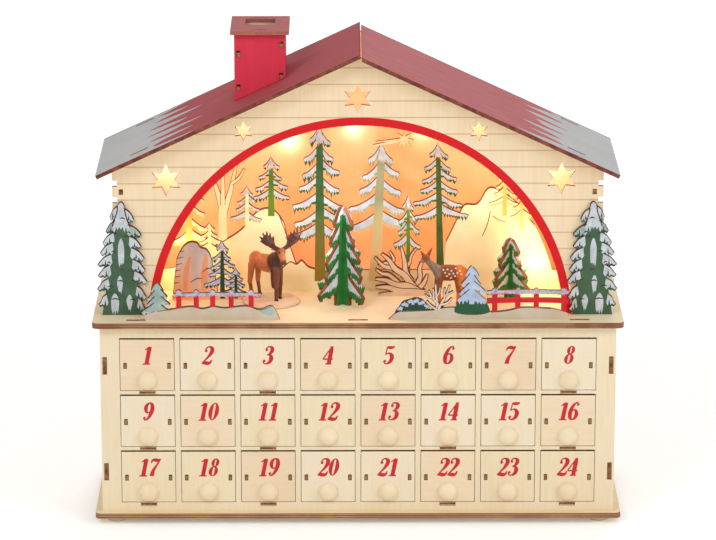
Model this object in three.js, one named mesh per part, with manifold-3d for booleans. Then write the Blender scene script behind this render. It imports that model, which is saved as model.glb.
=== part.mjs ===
import * as THREE from 'three';
import { mergeVertices } from 'three/addons/utils/BufferGeometryUtils.js';
import Module from 'manifold-3d';

// A wooden advent calendar: a cabinet of small drawers that carries a lit house
// with a winter scene. Millimetres, +Z up, front towards -Y, the origin on the
// ground under the middle of the base plate.

// Sheets and clearances
const sheet = 3;
const tabClearance = 0.3;
const seatClearance = 0.3;

// Plates and feet
const plateOverhang = 5.3;
const plateReach = 7.5;
const plateCorner = 5;
const baseThickness = 4.4;
const deckThickness = 4.35;
const footRadius = 8.5;
const footHeight = 4.6;
const footInset = 16;

// Cabinet and its grid of drawers
const columns = 8;
const rows = 3;
const openingWidth = 41.5;
const openingHeight = 41.6;
const barWidth = 4;
const stileWidth = 14.7;
const shelfThickness = 2.85;
const bottomRail = 6.6;
const topRail = 9.3;
const cabinetDepth = 115;
const sideWallInset = 1.9;
const wallTabHeight = 13.2;
const wallTabInset = 24.5;
const deckTabLength = 14;
const deckTabInset = 20.7;
const shelfTabLength = 11.6;
const shelfTabColumns = [0, 2, 5, 7];

// Drawers
const frontClearance = 0.4;
const traySideClearance = 1.75;
const trayTopClearance = 3.4;
const trayBackClearance = 0.5;
const trayWall = 2.5;
const knobRadius = 7.5;
const knobProjection = 5.5;
const knobBelowMargin = 0.2;

// House
const houseInset = 15.5;
const houseFrontSetback = 26;
const houseBackSetback = 6;
const legWidth = 30.7;
const archCentreDrop = 7.75;
const archShift = 1.6;
const crownHeight = 52.9;
const grooveSpacing = 12.7;
const notchDepth = 3.8;
const notchHeight = 4.6;
const houseWallInset = 5.1;
const houseTabHeight = 3.6;
const houseTabDrop = 20;
const houseTabRise = 32;
const houseFootTab = 14;
const cutStars = [
  { side: -1, edge: 40.6, drop: 27.8, radius: 12.3 },
  { side: -1, edge: 99, drop: 17.3, radius: 7.6 },
  { side: -1, edge: 184.3, drop: 32, radius: 11.2 },
  { side: 1, edge: 93.9, drop: 15.2, radius: 7.6 },
  { side: 1, edge: 31.7, drop: 22.5, radius: 12.3 },
];

// Roof and chimney
const roofPitch = THREE.MathUtils.degToRad(25);
const roofThickness = 3;
const roofInset = 3.9;
const roofFrontSetback = 12.9;
const roofBackSetback = 0;
const ridgeLap = 2;
const ridgeGap = 0.9;
const roofTabLength = 14.2;
const roofTabFromEave = 33.5;
const chimneyFromRidge = 54.3;
const chimneyWidth = 38.3;
const chimneyDepth = 46.3;
const chimneySetback = 50.6;
const chimneyRise = 8.7;
const chimneyWall = 3;
const capThickness = 2.7;
const capOverhang = 2.9;
const capReach = 5;
const capHoleWidth = 22.6;
const capHoleDepth = 33;

// Scenery
const stripSetback = 9.5;
const forestGap = 9.8;
const forestGround = 17;
const rockGap = 20.9;
const thicketGap = 11.4;
const outerTreeHeight = 88.4;
const outerTreeInset = 21.6;
const outerTreeHalfWidth = 19;
const centreTreeX = -10.2;
const centreTreeGap = 34.4;
const centreTreeHeight = 75.8;
const centreTreeReach = 24;
const rightTreeX = 116.4;
const rightTreeGap = 20.9;
const rightTreeHeight = 47.4;
const rightTreeReach = 19.5;
const mooseX = -69;
const mooseGap = 26.9;
const fawnX = 69;
const fawnGap = 41.9;

// Lights
const wireRadius = 0.6;
const wireStandoff = 0.7;
const wireNotch = 5;
const wireOutsideArch = 4;
const bulbRadius = 1.6;
const bulbCount = 9;
const caseWidth = 62;
const caseHeight = 32;
const caseDepth = 20;
const caseWall = 1.5;
const caseFromWall = 58;
const coverTravel = 6;
const coverClearance = 0.4;
const switchWidth = 5;
const switchHeight = 4;
const switchTravel = 4;
const switchGap = 6;

// Heights that follow
const baseTop = footHeight + baseThickness;
const rowPitch = openingHeight + shelfThickness;
const columnPitch = openingWidth + barWidth;
const cabinetHeight = bottomRail + rows * rowPitch - shelfThickness + topRail;
const deckBottom = baseTop + cabinetHeight;
const deckTop = deckBottom + deckThickness;
const lowestOpening = baseTop + bottomRail;

// Widths and depths that follow
const gridHalf = (columns * columnPitch - barWidth) / 2;
const cabinetHalf = gridHalf + stileWidth;
const plateHalf = cabinetHalf + plateOverhang;
const cabinetFront = -cabinetDepth / 2;
const cabinetBack = cabinetDepth / 2;
const plateFront = cabinetFront - plateReach;
const plateBack = cabinetBack + plateReach;
const sideWallOuter = cabinetHalf - sideWallInset;
const sideWallInner = sideWallOuter - sheet;

// House lines that follow
const houseHalf = plateHalf - houseInset;
const houseFront = plateFront + houseFrontSetback;
const houseBack = plateBack - houseBackSetback;
const archHalf = houseHalf - legWidth;
const archRadius = Math.hypot(archHalf, archCentreDrop);
const archCentreZ = deckTop - archCentreDrop;
const ridgeUnder = archCentreZ + archRadius + crownHeight;
const roofHalf = plateHalf - roofInset;
const houseWallOuter = houseHalf - houseWallInset;
const houseWallInner = houseWallOuter - sheet;
const underRoof = (x) => ridgeUnder - Math.abs(x) * Math.tan(roofPitch);
const overRoof = (x) => underRoof(x) + roofThickness / Math.cos(roofPitch);
const houseWallTop = underRoof(houseWallOuter) - seatClearance;
const rearFace = houseBack - sheet - seatClearance;
const forestFront = rearFace - caseDepth - forestGap - sheet;

// The scenery's outlines are drawn for a window 307.6 wide and grow with the window
const scene = (2 * archHalf) / 307.6;

const model = new THREE.Group();

// Materials
const finish = (color, roughness, metalness = 0) =>
  new THREE.MeshStandardMaterial({ color, roughness, metalness });
const birch = finish('#ecdcb8', 0.6);
const deckWood = finish('#d9c69c', 0.6);
const darkEdge = finish('#b98f5c', 0.7);
const roofRed = finish('#a04850', 0.7);
const chimneyRed = finish('#cf3a50', 0.6);
const firGreen = finish('#47745a', 0.7);
const snowGrey = finish('#c9cfc8', 0.8);
const mooseBrown = finish('#7a4a2c', 0.6);
const fawnBrown = finish('#9a5a34', 0.6);
const lampWhite = finish('#fff1c8', 0.4);
const plasticWhite = finish('#e6e4de', 0.45);
const plasticBlack = finish('#22211f', 0.45);
const footWood = finish('#e2cfa6', 0.6);

const addPiece = (name, geometry, material, position = [0, 0, 0]) => {
  const mesh = new THREE.Mesh(geometry, material);
  mesh.name = name;
  mesh.position.set(...position);
  model.add(mesh);
};

// Joining and cutting closed solids
const wasm = await Module();
wasm.setup();

const toSolid = (geometry) => {
  const bare = geometry.clone();
  bare.deleteAttribute('normal');
  bare.deleteAttribute('uv');
  const merged = mergeVertices(bare, 1e-4);
  return new wasm.Manifold(new wasm.Mesh({
    numProp: 3,
    vertProperties: new Float32Array(merged.attributes.position.array),
    triVerts: new Uint32Array(merged.index.array),
  }));
};

const toGeometry = (solid) => {
  const mesh = solid.getMesh();
  const geometry = new THREE.BufferGeometry();
  geometry.setAttribute('position', new THREE.BufferAttribute(mesh.vertProperties, 3));
  geometry.setIndex(new THREE.BufferAttribute(mesh.triVerts, 1));
  return geometry;
};

const joinAll = (geometries) =>
  geometries.map(toSolid).reduce((whole, next) => whole.add(next));

// Boards: an outline cut from a sheet and stood or laid in place
const outline = (points) => new THREE.Shape(points.map(([a, b]) => new THREE.Vector2(a, b)));

const prism = (path, depth, curveSegments) =>
  new THREE.ExtrudeGeometry(path, { depth, bevelEnabled: false, curveSegments });

// Holes are cut by prisms that run past both faces of the sheet
const extrude = (shape, depth, curveSegments = 12) => {
  const rim = new THREE.Shape(shape.getPoints(curveSegments));
  let solid = toSolid(prism(rim, depth, curveSegments));
  for (const hole of shape.holes) {
    solid = solid.subtract(toSolid(prism(hole, depth + 2, curveSegments).translate(0, 0, -1)));
  }
  return toGeometry(solid);
};

// Outline in X and Z, the board's front face at frontY
const standBoard = (shape, frontY, thickness = sheet, curveSegments = 12) =>
  extrude(shape, thickness, curveSegments)
    .rotateX(Math.PI / 2)
    .translate(0, frontY + thickness, 0);

// Outline in Y and Z, the board's left face at leftX
const sideBoard = (shape, leftX, thickness = sheet) => {
  const turn = new THREE.Matrix4().makeBasis(
    new THREE.Vector3(0, 1, 0),
    new THREE.Vector3(0, 0, 1),
    new THREE.Vector3(1, 0, 0),
  );
  return extrude(shape, thickness).applyMatrix4(turn).translate(leftX, 0, 0);
};

// Outline in X and Y, the board's underside at bottomZ
const layBoard = (shape, bottomZ, thickness, curveSegments = 6) =>
  extrude(shape, thickness, curveSegments).translate(0, 0, bottomZ);

const block = (x0, x1, y0, y1, z0, z1) =>
  new THREE.BoxGeometry(x1 - x0, y1 - y0, z1 - z0)
    .translate((x0 + x1) / 2, (y0 + y1) / 2, (z0 + z1) / 2);

const rectangle = (x0, x1, y0, y1) => [[x0, y0], [x1, y0], [x1, y1], [x0, y1]];

const roundedRectangle = (x0, x1, y0, y1, r) => {
  const shape = new THREE.Shape();
  shape.moveTo(x0 + r, y0);
  shape.lineTo(x1 - r, y0);
  shape.absarc(x1 - r, y0 + r, r, -Math.PI / 2, 0);
  shape.lineTo(x1, y1 - r);
  shape.absarc(x1 - r, y1 - r, r, 0, Math.PI / 2);
  shape.lineTo(x0 + r, y1);
  shape.absarc(x0 + r, y1 - r, r, Math.PI / 2, Math.PI);
  shape.lineTo(x0, y0 + r);
  shape.absarc(x0 + r, y0 + r, r, Math.PI, Math.PI * 1.5);
  return shape;
};

const openHole = (shape, points) => shape.holes.push(outline(points));

const slotAround = (shape, x0, x1, y0, y1) => openHole(
  shape,
  rectangle(x0 - tabClearance, x1 + tabClearance, y0 - tabClearance, y1 + tabClearance),
);

// Places of the tabs that several boards share
const outerDeckTab = cabinetHalf - deckTabInset - deckTabLength / 2;
const deckTabCentres = [-outerDeckTab, 0, outerDeckTab];
const wallTabCentres = [baseTop + wallTabInset + wallTabHeight / 2,
  deckBottom - wallTabInset - wallTabHeight / 2];
const frontFootCentres = [-1, 1].map((side) => side * (houseHalf - legWidth / 2));
const rearFootCentres = [-1, 1].map((side) => (side * outerDeckTab) / 2);
const houseTabCentres = [deckTop + houseTabRise, houseWallTop - houseTabDrop];
const columnCentre = (column) => (column - (columns - 1) / 2) * columnPitch;
const rowBottom = (row) => lowestOpening + (rows - 1 - row) * rowPitch;

// Feet and plates
const buildFeet = () => {
  const foot = new THREE.CylinderGeometry(footRadius, footRadius, footHeight, 24)
    .rotateX(Math.PI / 2);
  const x = plateHalf - footInset;
  const y = -plateFront - footInset;
  const places = {
    foot_front_left: [-x, -y],
    foot_front_right: [x, -y],
    foot_rear_left: [-x, y],
    foot_rear_right: [x, y],
  };
  for (const [name, [px, py]] of Object.entries(places)) {
    addPiece(name, foot, footWood, [px, py, footHeight / 2]);
  }
};

const buildPlates = () => {
  const base = roundedRectangle(-plateHalf, plateHalf, plateFront, plateBack, plateCorner);
  addPiece('base_plate', layBoard(base, footHeight, baseThickness), darkEdge);

  const deck = roundedRectangle(-plateHalf, plateHalf, plateFront, plateBack, plateCorner);
  for (const x of deckTabCentres) {
    for (const y of [cabinetFront, cabinetBack - sheet]) {
      slotAround(deck, x - deckTabLength / 2, x + deckTabLength / 2, y, y + sheet);
    }
  }
  for (const x of frontFootCentres) {
    slotAround(deck, x - houseFootTab / 2, x + houseFootTab / 2, houseFront, houseFront + sheet);
  }
  for (const x of rearFootCentres) {
    slotAround(deck, x - houseFootTab / 2, x + houseFootTab / 2, houseBack - sheet, houseBack);
  }
  addPiece('deck_plate', layBoard(deck, deckBottom, deckThickness), deckWood);
};

// Cabinet
const cabinetPanel = () => {
  const points = [[-cabinetHalf, baseTop], [cabinetHalf, baseTop], [cabinetHalf, deckBottom]];
  for (const x of [...deckTabCentres].reverse()) {
    points.push([x + deckTabLength / 2, deckBottom], [x + deckTabLength / 2, deckTop]);
    points.push([x - deckTabLength / 2, deckTop], [x - deckTabLength / 2, deckBottom]);
  }
  points.push([-cabinetHalf, deckBottom]);
  const panel = outline(points);
  for (const z of wallTabCentres) {
    const [low, high] = [z - wallTabHeight / 2, z + wallTabHeight / 2];
    slotAround(panel, -sideWallOuter, -sideWallInner, low, high);
    slotAround(panel, sideWallInner, sideWallOuter, low, high);
  }
  return panel;
};

const drawerOpening = (column, row) => {
  const x = columnCentre(column);
  const bottom = rowBottom(row);
  const [left, right] = [x - openingWidth / 2, x + openingWidth / 2];
  const corners = rectangle(left, right, bottom, bottom + openingHeight);
  if (!shelfTabColumns.includes(column)) return corners;
  const reach = shelfTabLength / 2 + tabClearance;
  const notchBottom = bottom - shelfThickness - tabClearance;
  return [corners[0], [x - reach, bottom], [x - reach, notchBottom],
    [x + reach, notchBottom], [x + reach, bottom], ...corners.slice(1)];
};

const buildCabinet = () => {
  const face = cabinetPanel();
  for (let row = 0; row < rows; row += 1) {
    for (let column = 0; column < columns; column += 1) {
      openHole(face, drawerOpening(column, row));
    }
  }
  addPiece('face_frame', standBoard(face, cabinetFront), birch);
  addPiece('cabinet_back', standBoard(cabinetPanel(), cabinetBack - sheet), birch);

  const front = cabinetFront + sheet;
  const back = cabinetBack - sheet;
  const edge = [[front, baseTop], [back, baseTop]];
  for (const z of wallTabCentres) {
    edge.push([back, z - wallTabHeight / 2], [cabinetBack, z - wallTabHeight / 2]);
    edge.push([cabinetBack, z + wallTabHeight / 2], [back, z + wallTabHeight / 2]);
  }
  edge.push([back, deckBottom], [front, deckBottom]);
  for (const z of [...wallTabCentres].reverse()) {
    edge.push([front, z + wallTabHeight / 2], [cabinetFront, z + wallTabHeight / 2]);
    edge.push([cabinetFront, z - wallTabHeight / 2], [front, z - wallTabHeight / 2]);
  }
  addPiece('cabinet_left_side', sideBoard(outline(edge), -sideWallOuter), birch);
  addPiece('cabinet_right_side', sideBoard(outline(edge), sideWallInner), birch);
};

// Each tier is a shelf with the dividers that stand on it
const buildTiers = () => {
  const front = cabinetFront + sheet;
  const back = cabinetBack - sheet;
  for (let row = 0; row < rows; row += 1) {
    const shelfTop = rowBottom(row);
    const ceiling = row === 0 ? deckBottom : shelfTop + openingHeight;
    const points = [[-sideWallInner, front]];
    for (const column of shelfTabColumns) {
      const x = columnCentre(column);
      const [left, right] = [x - shelfTabLength / 2, x + shelfTabLength / 2];
      points.push([left, front], [left, cabinetFront], [right, cabinetFront], [right, front]);
    }
    points.push([sideWallInner, front], [sideWallInner, back], [-sideWallInner, back]);
    const pieces = [layBoard(outline(points), shelfTop - shelfThickness, shelfThickness)];
    for (let k = 1; k < columns; k += 1) {
      const x = (columnCentre(k - 1) + columnCentre(k)) / 2;
      const foot = shelfTop - shelfThickness / 2;
      pieces.push(block(x - sheet / 2, x + sheet / 2, front, back, foot, ceiling));
    }
    addPiece(`rack_tier_${row + 1}`, toGeometry(joinAll(pieces)), birch);
  }
};

// One drawer: front, tray and knob, with the front's lower middle at its own origin
const drawerGeometry = () => {
  const frontWidth = openingWidth - 2 * frontClearance;
  const frontHeight = openingHeight - 2 * frontClearance;
  const trayHalf = openingWidth / 2 - traySideClearance;
  const trayBack = cabinetDepth - sheet - trayBackClearance;
  const trayTop = openingHeight - trayTopClearance;
  const front = block(-frontWidth / 2, frontWidth / 2, 0, sheet, 0, frontHeight);
  const tray = block(-trayHalf, trayHalf, sheet / 2, trayBack, 0, trayTop);
  const hollow = block(-trayHalf + trayWall, trayHalf - trayWall, sheet + trayWall,
    trayBack - trayWall, trayWall, trayTop + 1);
  const profile = new THREE.EllipseCurve(0, 0, knobRadius, knobProjection, 0, Math.PI / 2)
    .getPoints(3);
  const foot = [new THREE.Vector2(0, -sheet / 2), new THREE.Vector2(knobRadius, -sheet / 2)];
  const knob = new THREE.LatheGeometry([...foot, ...profile.slice(0, -1),
    new THREE.Vector2(0, knobProjection)], 12)
    .rotateX(Math.PI)
    .translate(0, 0, knobRadius + knobBelowMargin);
  return toGeometry(joinAll([front, tray]).subtract(toSolid(hollow)).add(toSolid(knob)));
};

const buildDrawers = () => {
  const geometry = drawerGeometry();
  for (let row = 0; row < rows; row += 1) {
    for (let column = 0; column < columns; column += 1) {
      const number = String(row * columns + column + 1).padStart(2, '0');
      const place = [columnCentre(column), cabinetFront, rowBottom(row) + frontClearance];
      addPiece(`drawer_${number}`, geometry, birch, place);
    }
  }
};

// House
const starPoints = (x, z, radius, tips = 6, waist = 0.5) => {
  const points = [];
  for (let k = 0; k < 2 * tips; k += 1) {
    const angle = Math.PI / 2 + (k * Math.PI) / tips;
    const r = k % 2 === 0 ? radius : radius * waist;
    points.push([x + r * Math.cos(angle), z + r * Math.sin(angle)]);
  }
  return points;
};

// Corners of a tab that stands square to the slope and comes up through the roof
const roofTab = (side) => {
  const middle = (roofHalf - roofTabFromEave) / Math.cos(roofPitch);
  const rise = seatClearance * Math.cos(roofPitch) + roofThickness;
  const corner = (along, up) => {
    const x = along * Math.cos(roofPitch) + up * Math.sin(roofPitch);
    const z = ridgeUnder - seatClearance - along * Math.sin(roofPitch) + up * Math.cos(roofPitch);
    return [side * x, z];
  };
  const near = middle - roofTabLength / 2;
  const far = middle + roofTabLength / 2;
  return [corner(near, 0), corner(near, rise), corner(far, rise), corner(far, 0)];
};

const notchedEdge = (side) => {
  const points = [];
  const top = underRoof(houseHalf) - seatClearance;
  for (let z = deckTop + grooveSpacing; z + notchHeight / 2 < top; z += grooveSpacing) {
    points.push([side * houseHalf, z - notchHeight / 2]);
    points.push([side * (houseHalf - notchDepth), z - notchHeight / 2]);
    points.push([side * (houseHalf - notchDepth), z + notchHeight / 2]);
    points.push([side * houseHalf, z + notchHeight / 2]);
  }
  points.push([side * houseHalf, top]);
  return points;
};

const footTab = (x) => [[x - houseFootTab / 2, deckTop],
  [x - houseFootTab / 2, deckBottom + tabClearance],
  [x + houseFootTab / 2, deckBottom + tabClearance], [x + houseFootTab / 2, deckTop]];

const gable = (footCentres, archInner) => {
  const shape = new THREE.Shape();
  const [leftTab, rightTab] = footCentres.map(footTab);
  const start = [-houseHalf, deckTop];
  shape.moveTo(...start);
  leftTab.forEach((p) => shape.lineTo(...p));
  if (archInner) {
    const spread = Math.acos(archCentreDrop / archInner);
    shape.lineTo(archShift - archInner * Math.sin(spread), deckTop);
    shape.absarc(archShift, archCentreZ, archInner, Math.PI / 2 + spread,
      Math.PI / 2 - spread, true);
  }
  rightTab.forEach((p) => shape.lineTo(...p));
  shape.lineTo(houseHalf, deckTop);
  notchedEdge(1).forEach((p) => shape.lineTo(...p));
  roofTab(1).reverse().forEach((p) => shape.lineTo(...p));
  shape.lineTo(0, ridgeUnder - seatClearance);
  roofTab(-1).forEach((p) => shape.lineTo(...p));
  notchedEdge(-1).reverse().forEach((p) => shape.lineTo(...p));
  for (const z of houseTabCentres) {
    const [low, high] = [z - houseTabHeight / 2, z + houseTabHeight / 2];
    slotAround(shape, -houseWallOuter, -houseWallInner, low, high);
    slotAround(shape, houseWallInner, houseWallOuter, low, high);
  }
  return shape;
};

// Battery bay in the rear wall: the cover slides in its window beside the switch
const coverBay = (() => {
  const left = -houseWallInner + caseFromWall;
  const bottom = deckTop + seatClearance + caseWall;
  const width = caseWidth - 2 * caseWall - coverTravel - switchGap - switchWidth - switchTravel;
  return {
    left,
    bottom,
    width,
    top: bottom + caseHeight - 2 * caseWall,
    right: left + width + coverTravel + 2 * coverClearance,
  };
})();
const switchLeft = coverBay.right + switchGap - 2 * coverClearance;
const switchMiddleZ = (coverBay.bottom + coverBay.top) / 2;

const buildHouse = () => {
  const front = gable(frontFootCentres, archRadius);
  for (const { side, edge, drop, radius } of cutStars) {
    const x = side * (houseHalf - edge);
    openHole(front, starPoints(x, underRoof(x) - drop, radius));
  }
  addPiece('house_front', standBoard(front, houseFront, sheet, 32), birch);

  const rear = gable(rearFootCentres, 0);
  openHole(rear, rectangle(coverBay.left, coverBay.right, coverBay.bottom, coverBay.top));
  openHole(rear, rectangle(
    switchLeft - coverClearance,
    switchLeft + switchWidth + switchTravel + coverClearance,
    switchMiddleZ - switchHeight / 2 - coverClearance,
    switchMiddleZ + switchHeight / 2 + coverClearance,
  ));
  addPiece('house_back', standBoard(rear, houseBack - sheet), birch);

  const [y0, y1] = [houseFront + sheet, houseBack - sheet];
  const edge = [[y0, deckTop], [y1, deckTop]];
  for (const z of houseTabCentres) {
    edge.push([y1, z - houseTabHeight / 2], [houseBack, z - houseTabHeight / 2]);
    edge.push([houseBack, z + houseTabHeight / 2], [y1, z + houseTabHeight / 2]);
  }
  edge.push([y1, houseWallTop], [y0, houseWallTop]);
  for (const z of [...houseTabCentres].reverse()) {
    edge.push([y0, z + houseTabHeight / 2], [houseFront, z + houseTabHeight / 2]);
    edge.push([houseFront, z - houseTabHeight / 2], [y0, z - houseTabHeight / 2]);
  }
  addPiece('house_left_wall', sideBoard(outline(edge), -houseWallOuter), birch);
  addPiece('house_right_wall', sideBoard(outline(edge), houseWallInner), birch);
};

// Roof: two boards, the left one lapping past the ridge
const buildRoof = () => {
  const y0 = plateFront + roofFrontSetback;
  const length = plateBack - roofBackSetback - y0;
  const panel = (side, ridgeX) => {
    const shift = roofThickness * Math.sin(roofPitch);
    const eaveTop = overRoof(roofHalf);
    const ridge = (x) => ridgeUnder - side * x * Math.tan(roofPitch);
    const thick = roofThickness / Math.cos(roofPitch);
    const shape = outline([
      [ridgeX, ridge(ridgeX)],
      [ridgeX, ridge(ridgeX) + thick],
      [side * roofHalf, eaveTop],
      [side * (roofHalf - shift), eaveTop - roofThickness * Math.cos(roofPitch)],
    ]);
    let solid = toSolid(standBoard(shape, y0, length));
    const middle = roofHalf - roofTabFromEave;
    for (const y of [houseFront + sheet / 2, houseBack - sheet / 2]) {
      const slot = new THREE.BoxGeometry(roofTabLength + 2 * tabClearance,
        sheet + 2 * tabClearance, 4 * roofThickness)
        .rotateY(side * roofPitch)
        .translate(side * (middle + (roofThickness / 2) * Math.sin(roofPitch)), y,
          underRoof(middle) + (roofThickness / 2) * Math.cos(roofPitch));
      solid = solid.subtract(toSolid(slot));
    }
    return toGeometry(solid);
  };
  addPiece('roof_left', panel(-1, ridgeLap), roofRed);
  addPiece('roof_right', panel(1, ridgeLap + ridgeGap), roofRed);
};

// Chimney: a four-sided stack cut to the slope, with an open cap
const buildChimney = () => {
  const right = -chimneyFromRidge;
  const left = right - chimneyWidth;
  const y0 = plateFront + chimneySetback;
  const y1 = y0 + chimneyDepth;
  const top = overRoof(0) + chimneyRise;
  const foot = (x) => overRoof(x) + seatClearance;
  const walls = outline([[left, foot(left)], [right, foot(right)], [right, top], [left, top]]);
  const flue = block(left + chimneyWall, right - chimneyWall, y0 + chimneyWall,
    y1 - chimneyWall, foot(left) - 1, top + 1);
  const stack = toSolid(standBoard(walls, y0, chimneyDepth)).subtract(toSolid(flue));
  addPiece('chimney_stack', toGeometry(stack), chimneyRed);

  const middleX = (left + right) / 2;
  const middleY = (y0 + y1) / 2;
  const cap = outline(rectangle(left - capOverhang, right + capOverhang,
    y0 - capReach, y1 + capReach));
  openHole(cap, rectangle(middleX - capHoleWidth / 2, middleX + capHoleWidth / 2,
    middleY - capHoleDepth / 2, middleY + capHoleDepth / 2));
  addPiece('chimney_cap', layBoard(cap, top, capThickness), chimneyRed);
};

// A fir cut from sheet: drooping branches in tiers on a trunk
const firOutline = ({
  x = 0, foot, top, skirt, half, tiers, trunk, lean = 0, tipShare = 0.22, phase = 0,
  waist = 0.42, lift = 0.45,
}) => {
  const step = (top - skirt) / tiers;
  const axis = (z) => x + (lean * (z - foot)) / (top - foot);
  const sideOf = (side) => {
    const points = [];
    for (let k = 1; k <= tiers; k += 1) {
      const sway = 1 + 0.1 * Math.sin(2.4 * k + phase + (side > 0 ? 0 : 1.7));
      const reach = half * (tipShare + (1 - tipShare) * (k / tiers)) * sway;
      const tip = top - step * k + 0.12 * step * Math.sin(1.9 * k + phase + side);
      const inner = k === tiers ? Math.min(trunk, reach * waist) : reach * waist;
      points.push([axis(tip) + side * reach * 0.62, tip + step * 0.36]);
      points.push([axis(tip) + side * reach, tip]);
      points.push([axis(tip) + side * inner, tip + step * lift]);
    }
    points.push([x + side * trunk, foot]);
    return points;
  };
  return outline([[x + lean, top], ...sideOf(-1), ...sideOf(1).reverse()]);
};

// A bank of snow or a hill: a smooth top line over a flat foot
const bankOutline = (left, right, foot, line) => {
  const shape = new THREE.Shape();
  shape.moveTo(left, foot);
  shape.lineTo(...line[0]);
  shape.splineThru(line.slice(1).map(([a, b]) => new THREE.Vector2(a, b)));
  shape.lineTo(right, foot);
  return shape;
};

// A flat tapering stick between two points
const stickOutline = ([x0, z0], [x1, z1], width0, width1) => {
  const length = Math.hypot(x1 - x0, z1 - z0);
  const [nx, nz] = [-(z1 - z0) / length / 2, (x1 - x0) / length / 2];
  return outline([[x0 - nx * width0, z0 - nz * width0], [x1 - nx * width1, z1 - nz * width1],
    [x1 + nx * width1, z1 + nz * width1], [x0 + nx * width0, z0 + nz * width0]]);
};

const boardOf = (shapes, frontY, curveSegments = 2) =>
  toGeometry(joinAll(shapes.map((shape) => standBoard(shape, frontY, sheet, curveSegments))));

// Drawn places and heights above the deck, brought to the size of the window
const above = (points) => points.map(([x, h]) => [x * scene, deckTop + h * scene]);
const stick = ([from, to, width0, width1]) =>
  stickOutline(...above([from, to]), width0 * scene, width1 * scene);
const bank = (left, right, line) =>
  bankOutline(left * scene, right * scene, deckTop, above(line));
const bar = (left, right, height) =>
  outline(rectangle(left * scene, right * scene, deckTop, deckTop + height * scene));
const fir = ({ x, foot, top, skirt, half, trunk, lean = 0, ...rest }) => firOutline({
  ...rest,
  x: x * scene,
  foot: deckTop + foot * scene,
  top: deckTop + top * scene,
  skirt: deckTop + skirt * scene,
  half: half * scene,
  trunk: trunk * scene,
  lean: lean * scene,
});

// Heights above the deck on the forest board behind the scene
const leftHill = [[-150, 18], [-138, 20], [-119, 31], [-99, 43], [-88, 51], [-77, 64],
  [-66, 66], [-57, 56], [-53, 40], [-47, 22]];
const rightHill = [[68, 40], [76, 57], [82, 69], [92, 70], [100, 82], [108, 81],
  [121, 72], [136, 53], [148, 24]];
const forestFirs = [
  { x: -129.4, foot: 20, top: 103, skirt: 40, half: 17, tiers: 6, trunk: 3, phase: 0.4 },
  { x: -113.8, foot: 26, top: 55, skirt: 34, half: 10, tiers: 4, trunk: 1.6, phase: 1.1 },
  { x: -84.8, foot: 46, top: 84, skirt: 58, half: 12, tiers: 4, trunk: 1.8, phase: 2.2 },
  { x: -66.3, foot: 60, top: 106.5, skirt: 74, half: 15, tiers: 4, trunk: 2.6, phase: 0.2 },
  { x: -29, foot: 8, top: 131, skirt: 42, half: 25, tiers: 7, trunk: 4.2, phase: 0.9 },
  { x: 13, lean: 6, foot: 8, top: 118, skirt: 52, half: 25, tiers: 5, trunk: 4.6, phase: 2.6 },
  { x: 39, foot: 8, top: 77, skirt: 36, half: 11, tiers: 4, trunk: 1.8, phase: 1.7 },
  { x: 64, lean: -2.5, foot: 8, top: 116.5, skirt: 60, half: 21, tiers: 6, trunk: 3, phase: 0.5 },
  { x: 113, foot: 60, top: 96, skirt: 70, half: 11, tiers: 4, trunk: 1.8, phase: 2.9 },
  { x: 126, foot: 50, top: 78, skirt: 60, half: 8, tiers: 3, trunk: 1.5, phase: 0 },
];
const bareTree = [
  [[-104, 30], [-103.5, 68], 7, 6],
  [[-103.5, 64], [-113, 98], 4, 1.6],
  [[-103, 64], [-92.5, 102], 4, 1.6],
  [[-103.5, 66], [-103.8, 113], 3, 1.4],
  [[-110, 86], [-119, 96], 2.2, 1.2],
  [[-96, 88], [-87, 96], 2.2, 1.2],
];
const fallingStar = { x: 35.7, z: 120, radius: 7.4, tail: [[12, 115.6], [33, 119.6]] };

const buildForest = () => {
  const reach = houseWallInner - seatClearance;
  const ground = deckTop + forestGround;
  const { x, z, radius, tail } = fallingStar;
  const shapes = [
    outline([[-reach + wireNotch, deckTop], [reach, deckTop], [reach, ground],
      [-reach, ground], [-reach, deckTop + wireNotch],
      [-reach + wireNotch, deckTop + wireNotch]]),
    bank(-150, -46, leftHill),
    bank(66, 150, rightHill),
    ...forestFirs.map(fir),
    ...bareTree.map(stick),
    stick([...tail, 1.2, 2.4]),
    outline(starPoints(x * scene, deckTop + z * scene, radius * scene, 8, 0.45)),
  ];
  addPiece('forest_board', boardOf(shapes, forestFront), birch);
};

// Rock with two small firs, on one board
const buildRock = () => {
  const rock = [[-141, 6], [-138, 22], [-131, 40], [-126, 46.5], [-120, 45], [-115, 39],
    [-110, 24], [-107.5, 6]];
  const firs = [
    { x: -103.6, foot: 1, top: 46.8, skirt: 14, half: 12, tiers: 5, trunk: 1.7, phase: 0.8 },
    { x: -93.2, foot: 1, top: 25.4, skirt: 7, half: 8.2, tiers: 4, trunk: 1.2, phase: 2 },
  ];
  const shapes = [bank(-142, -106.5, rock), bar(-142, -88, 3), ...firs.map(fir)];
  addPiece('rock_board', boardOf(shapes, forestFront - rockGap - sheet), snowGrey);
};

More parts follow.
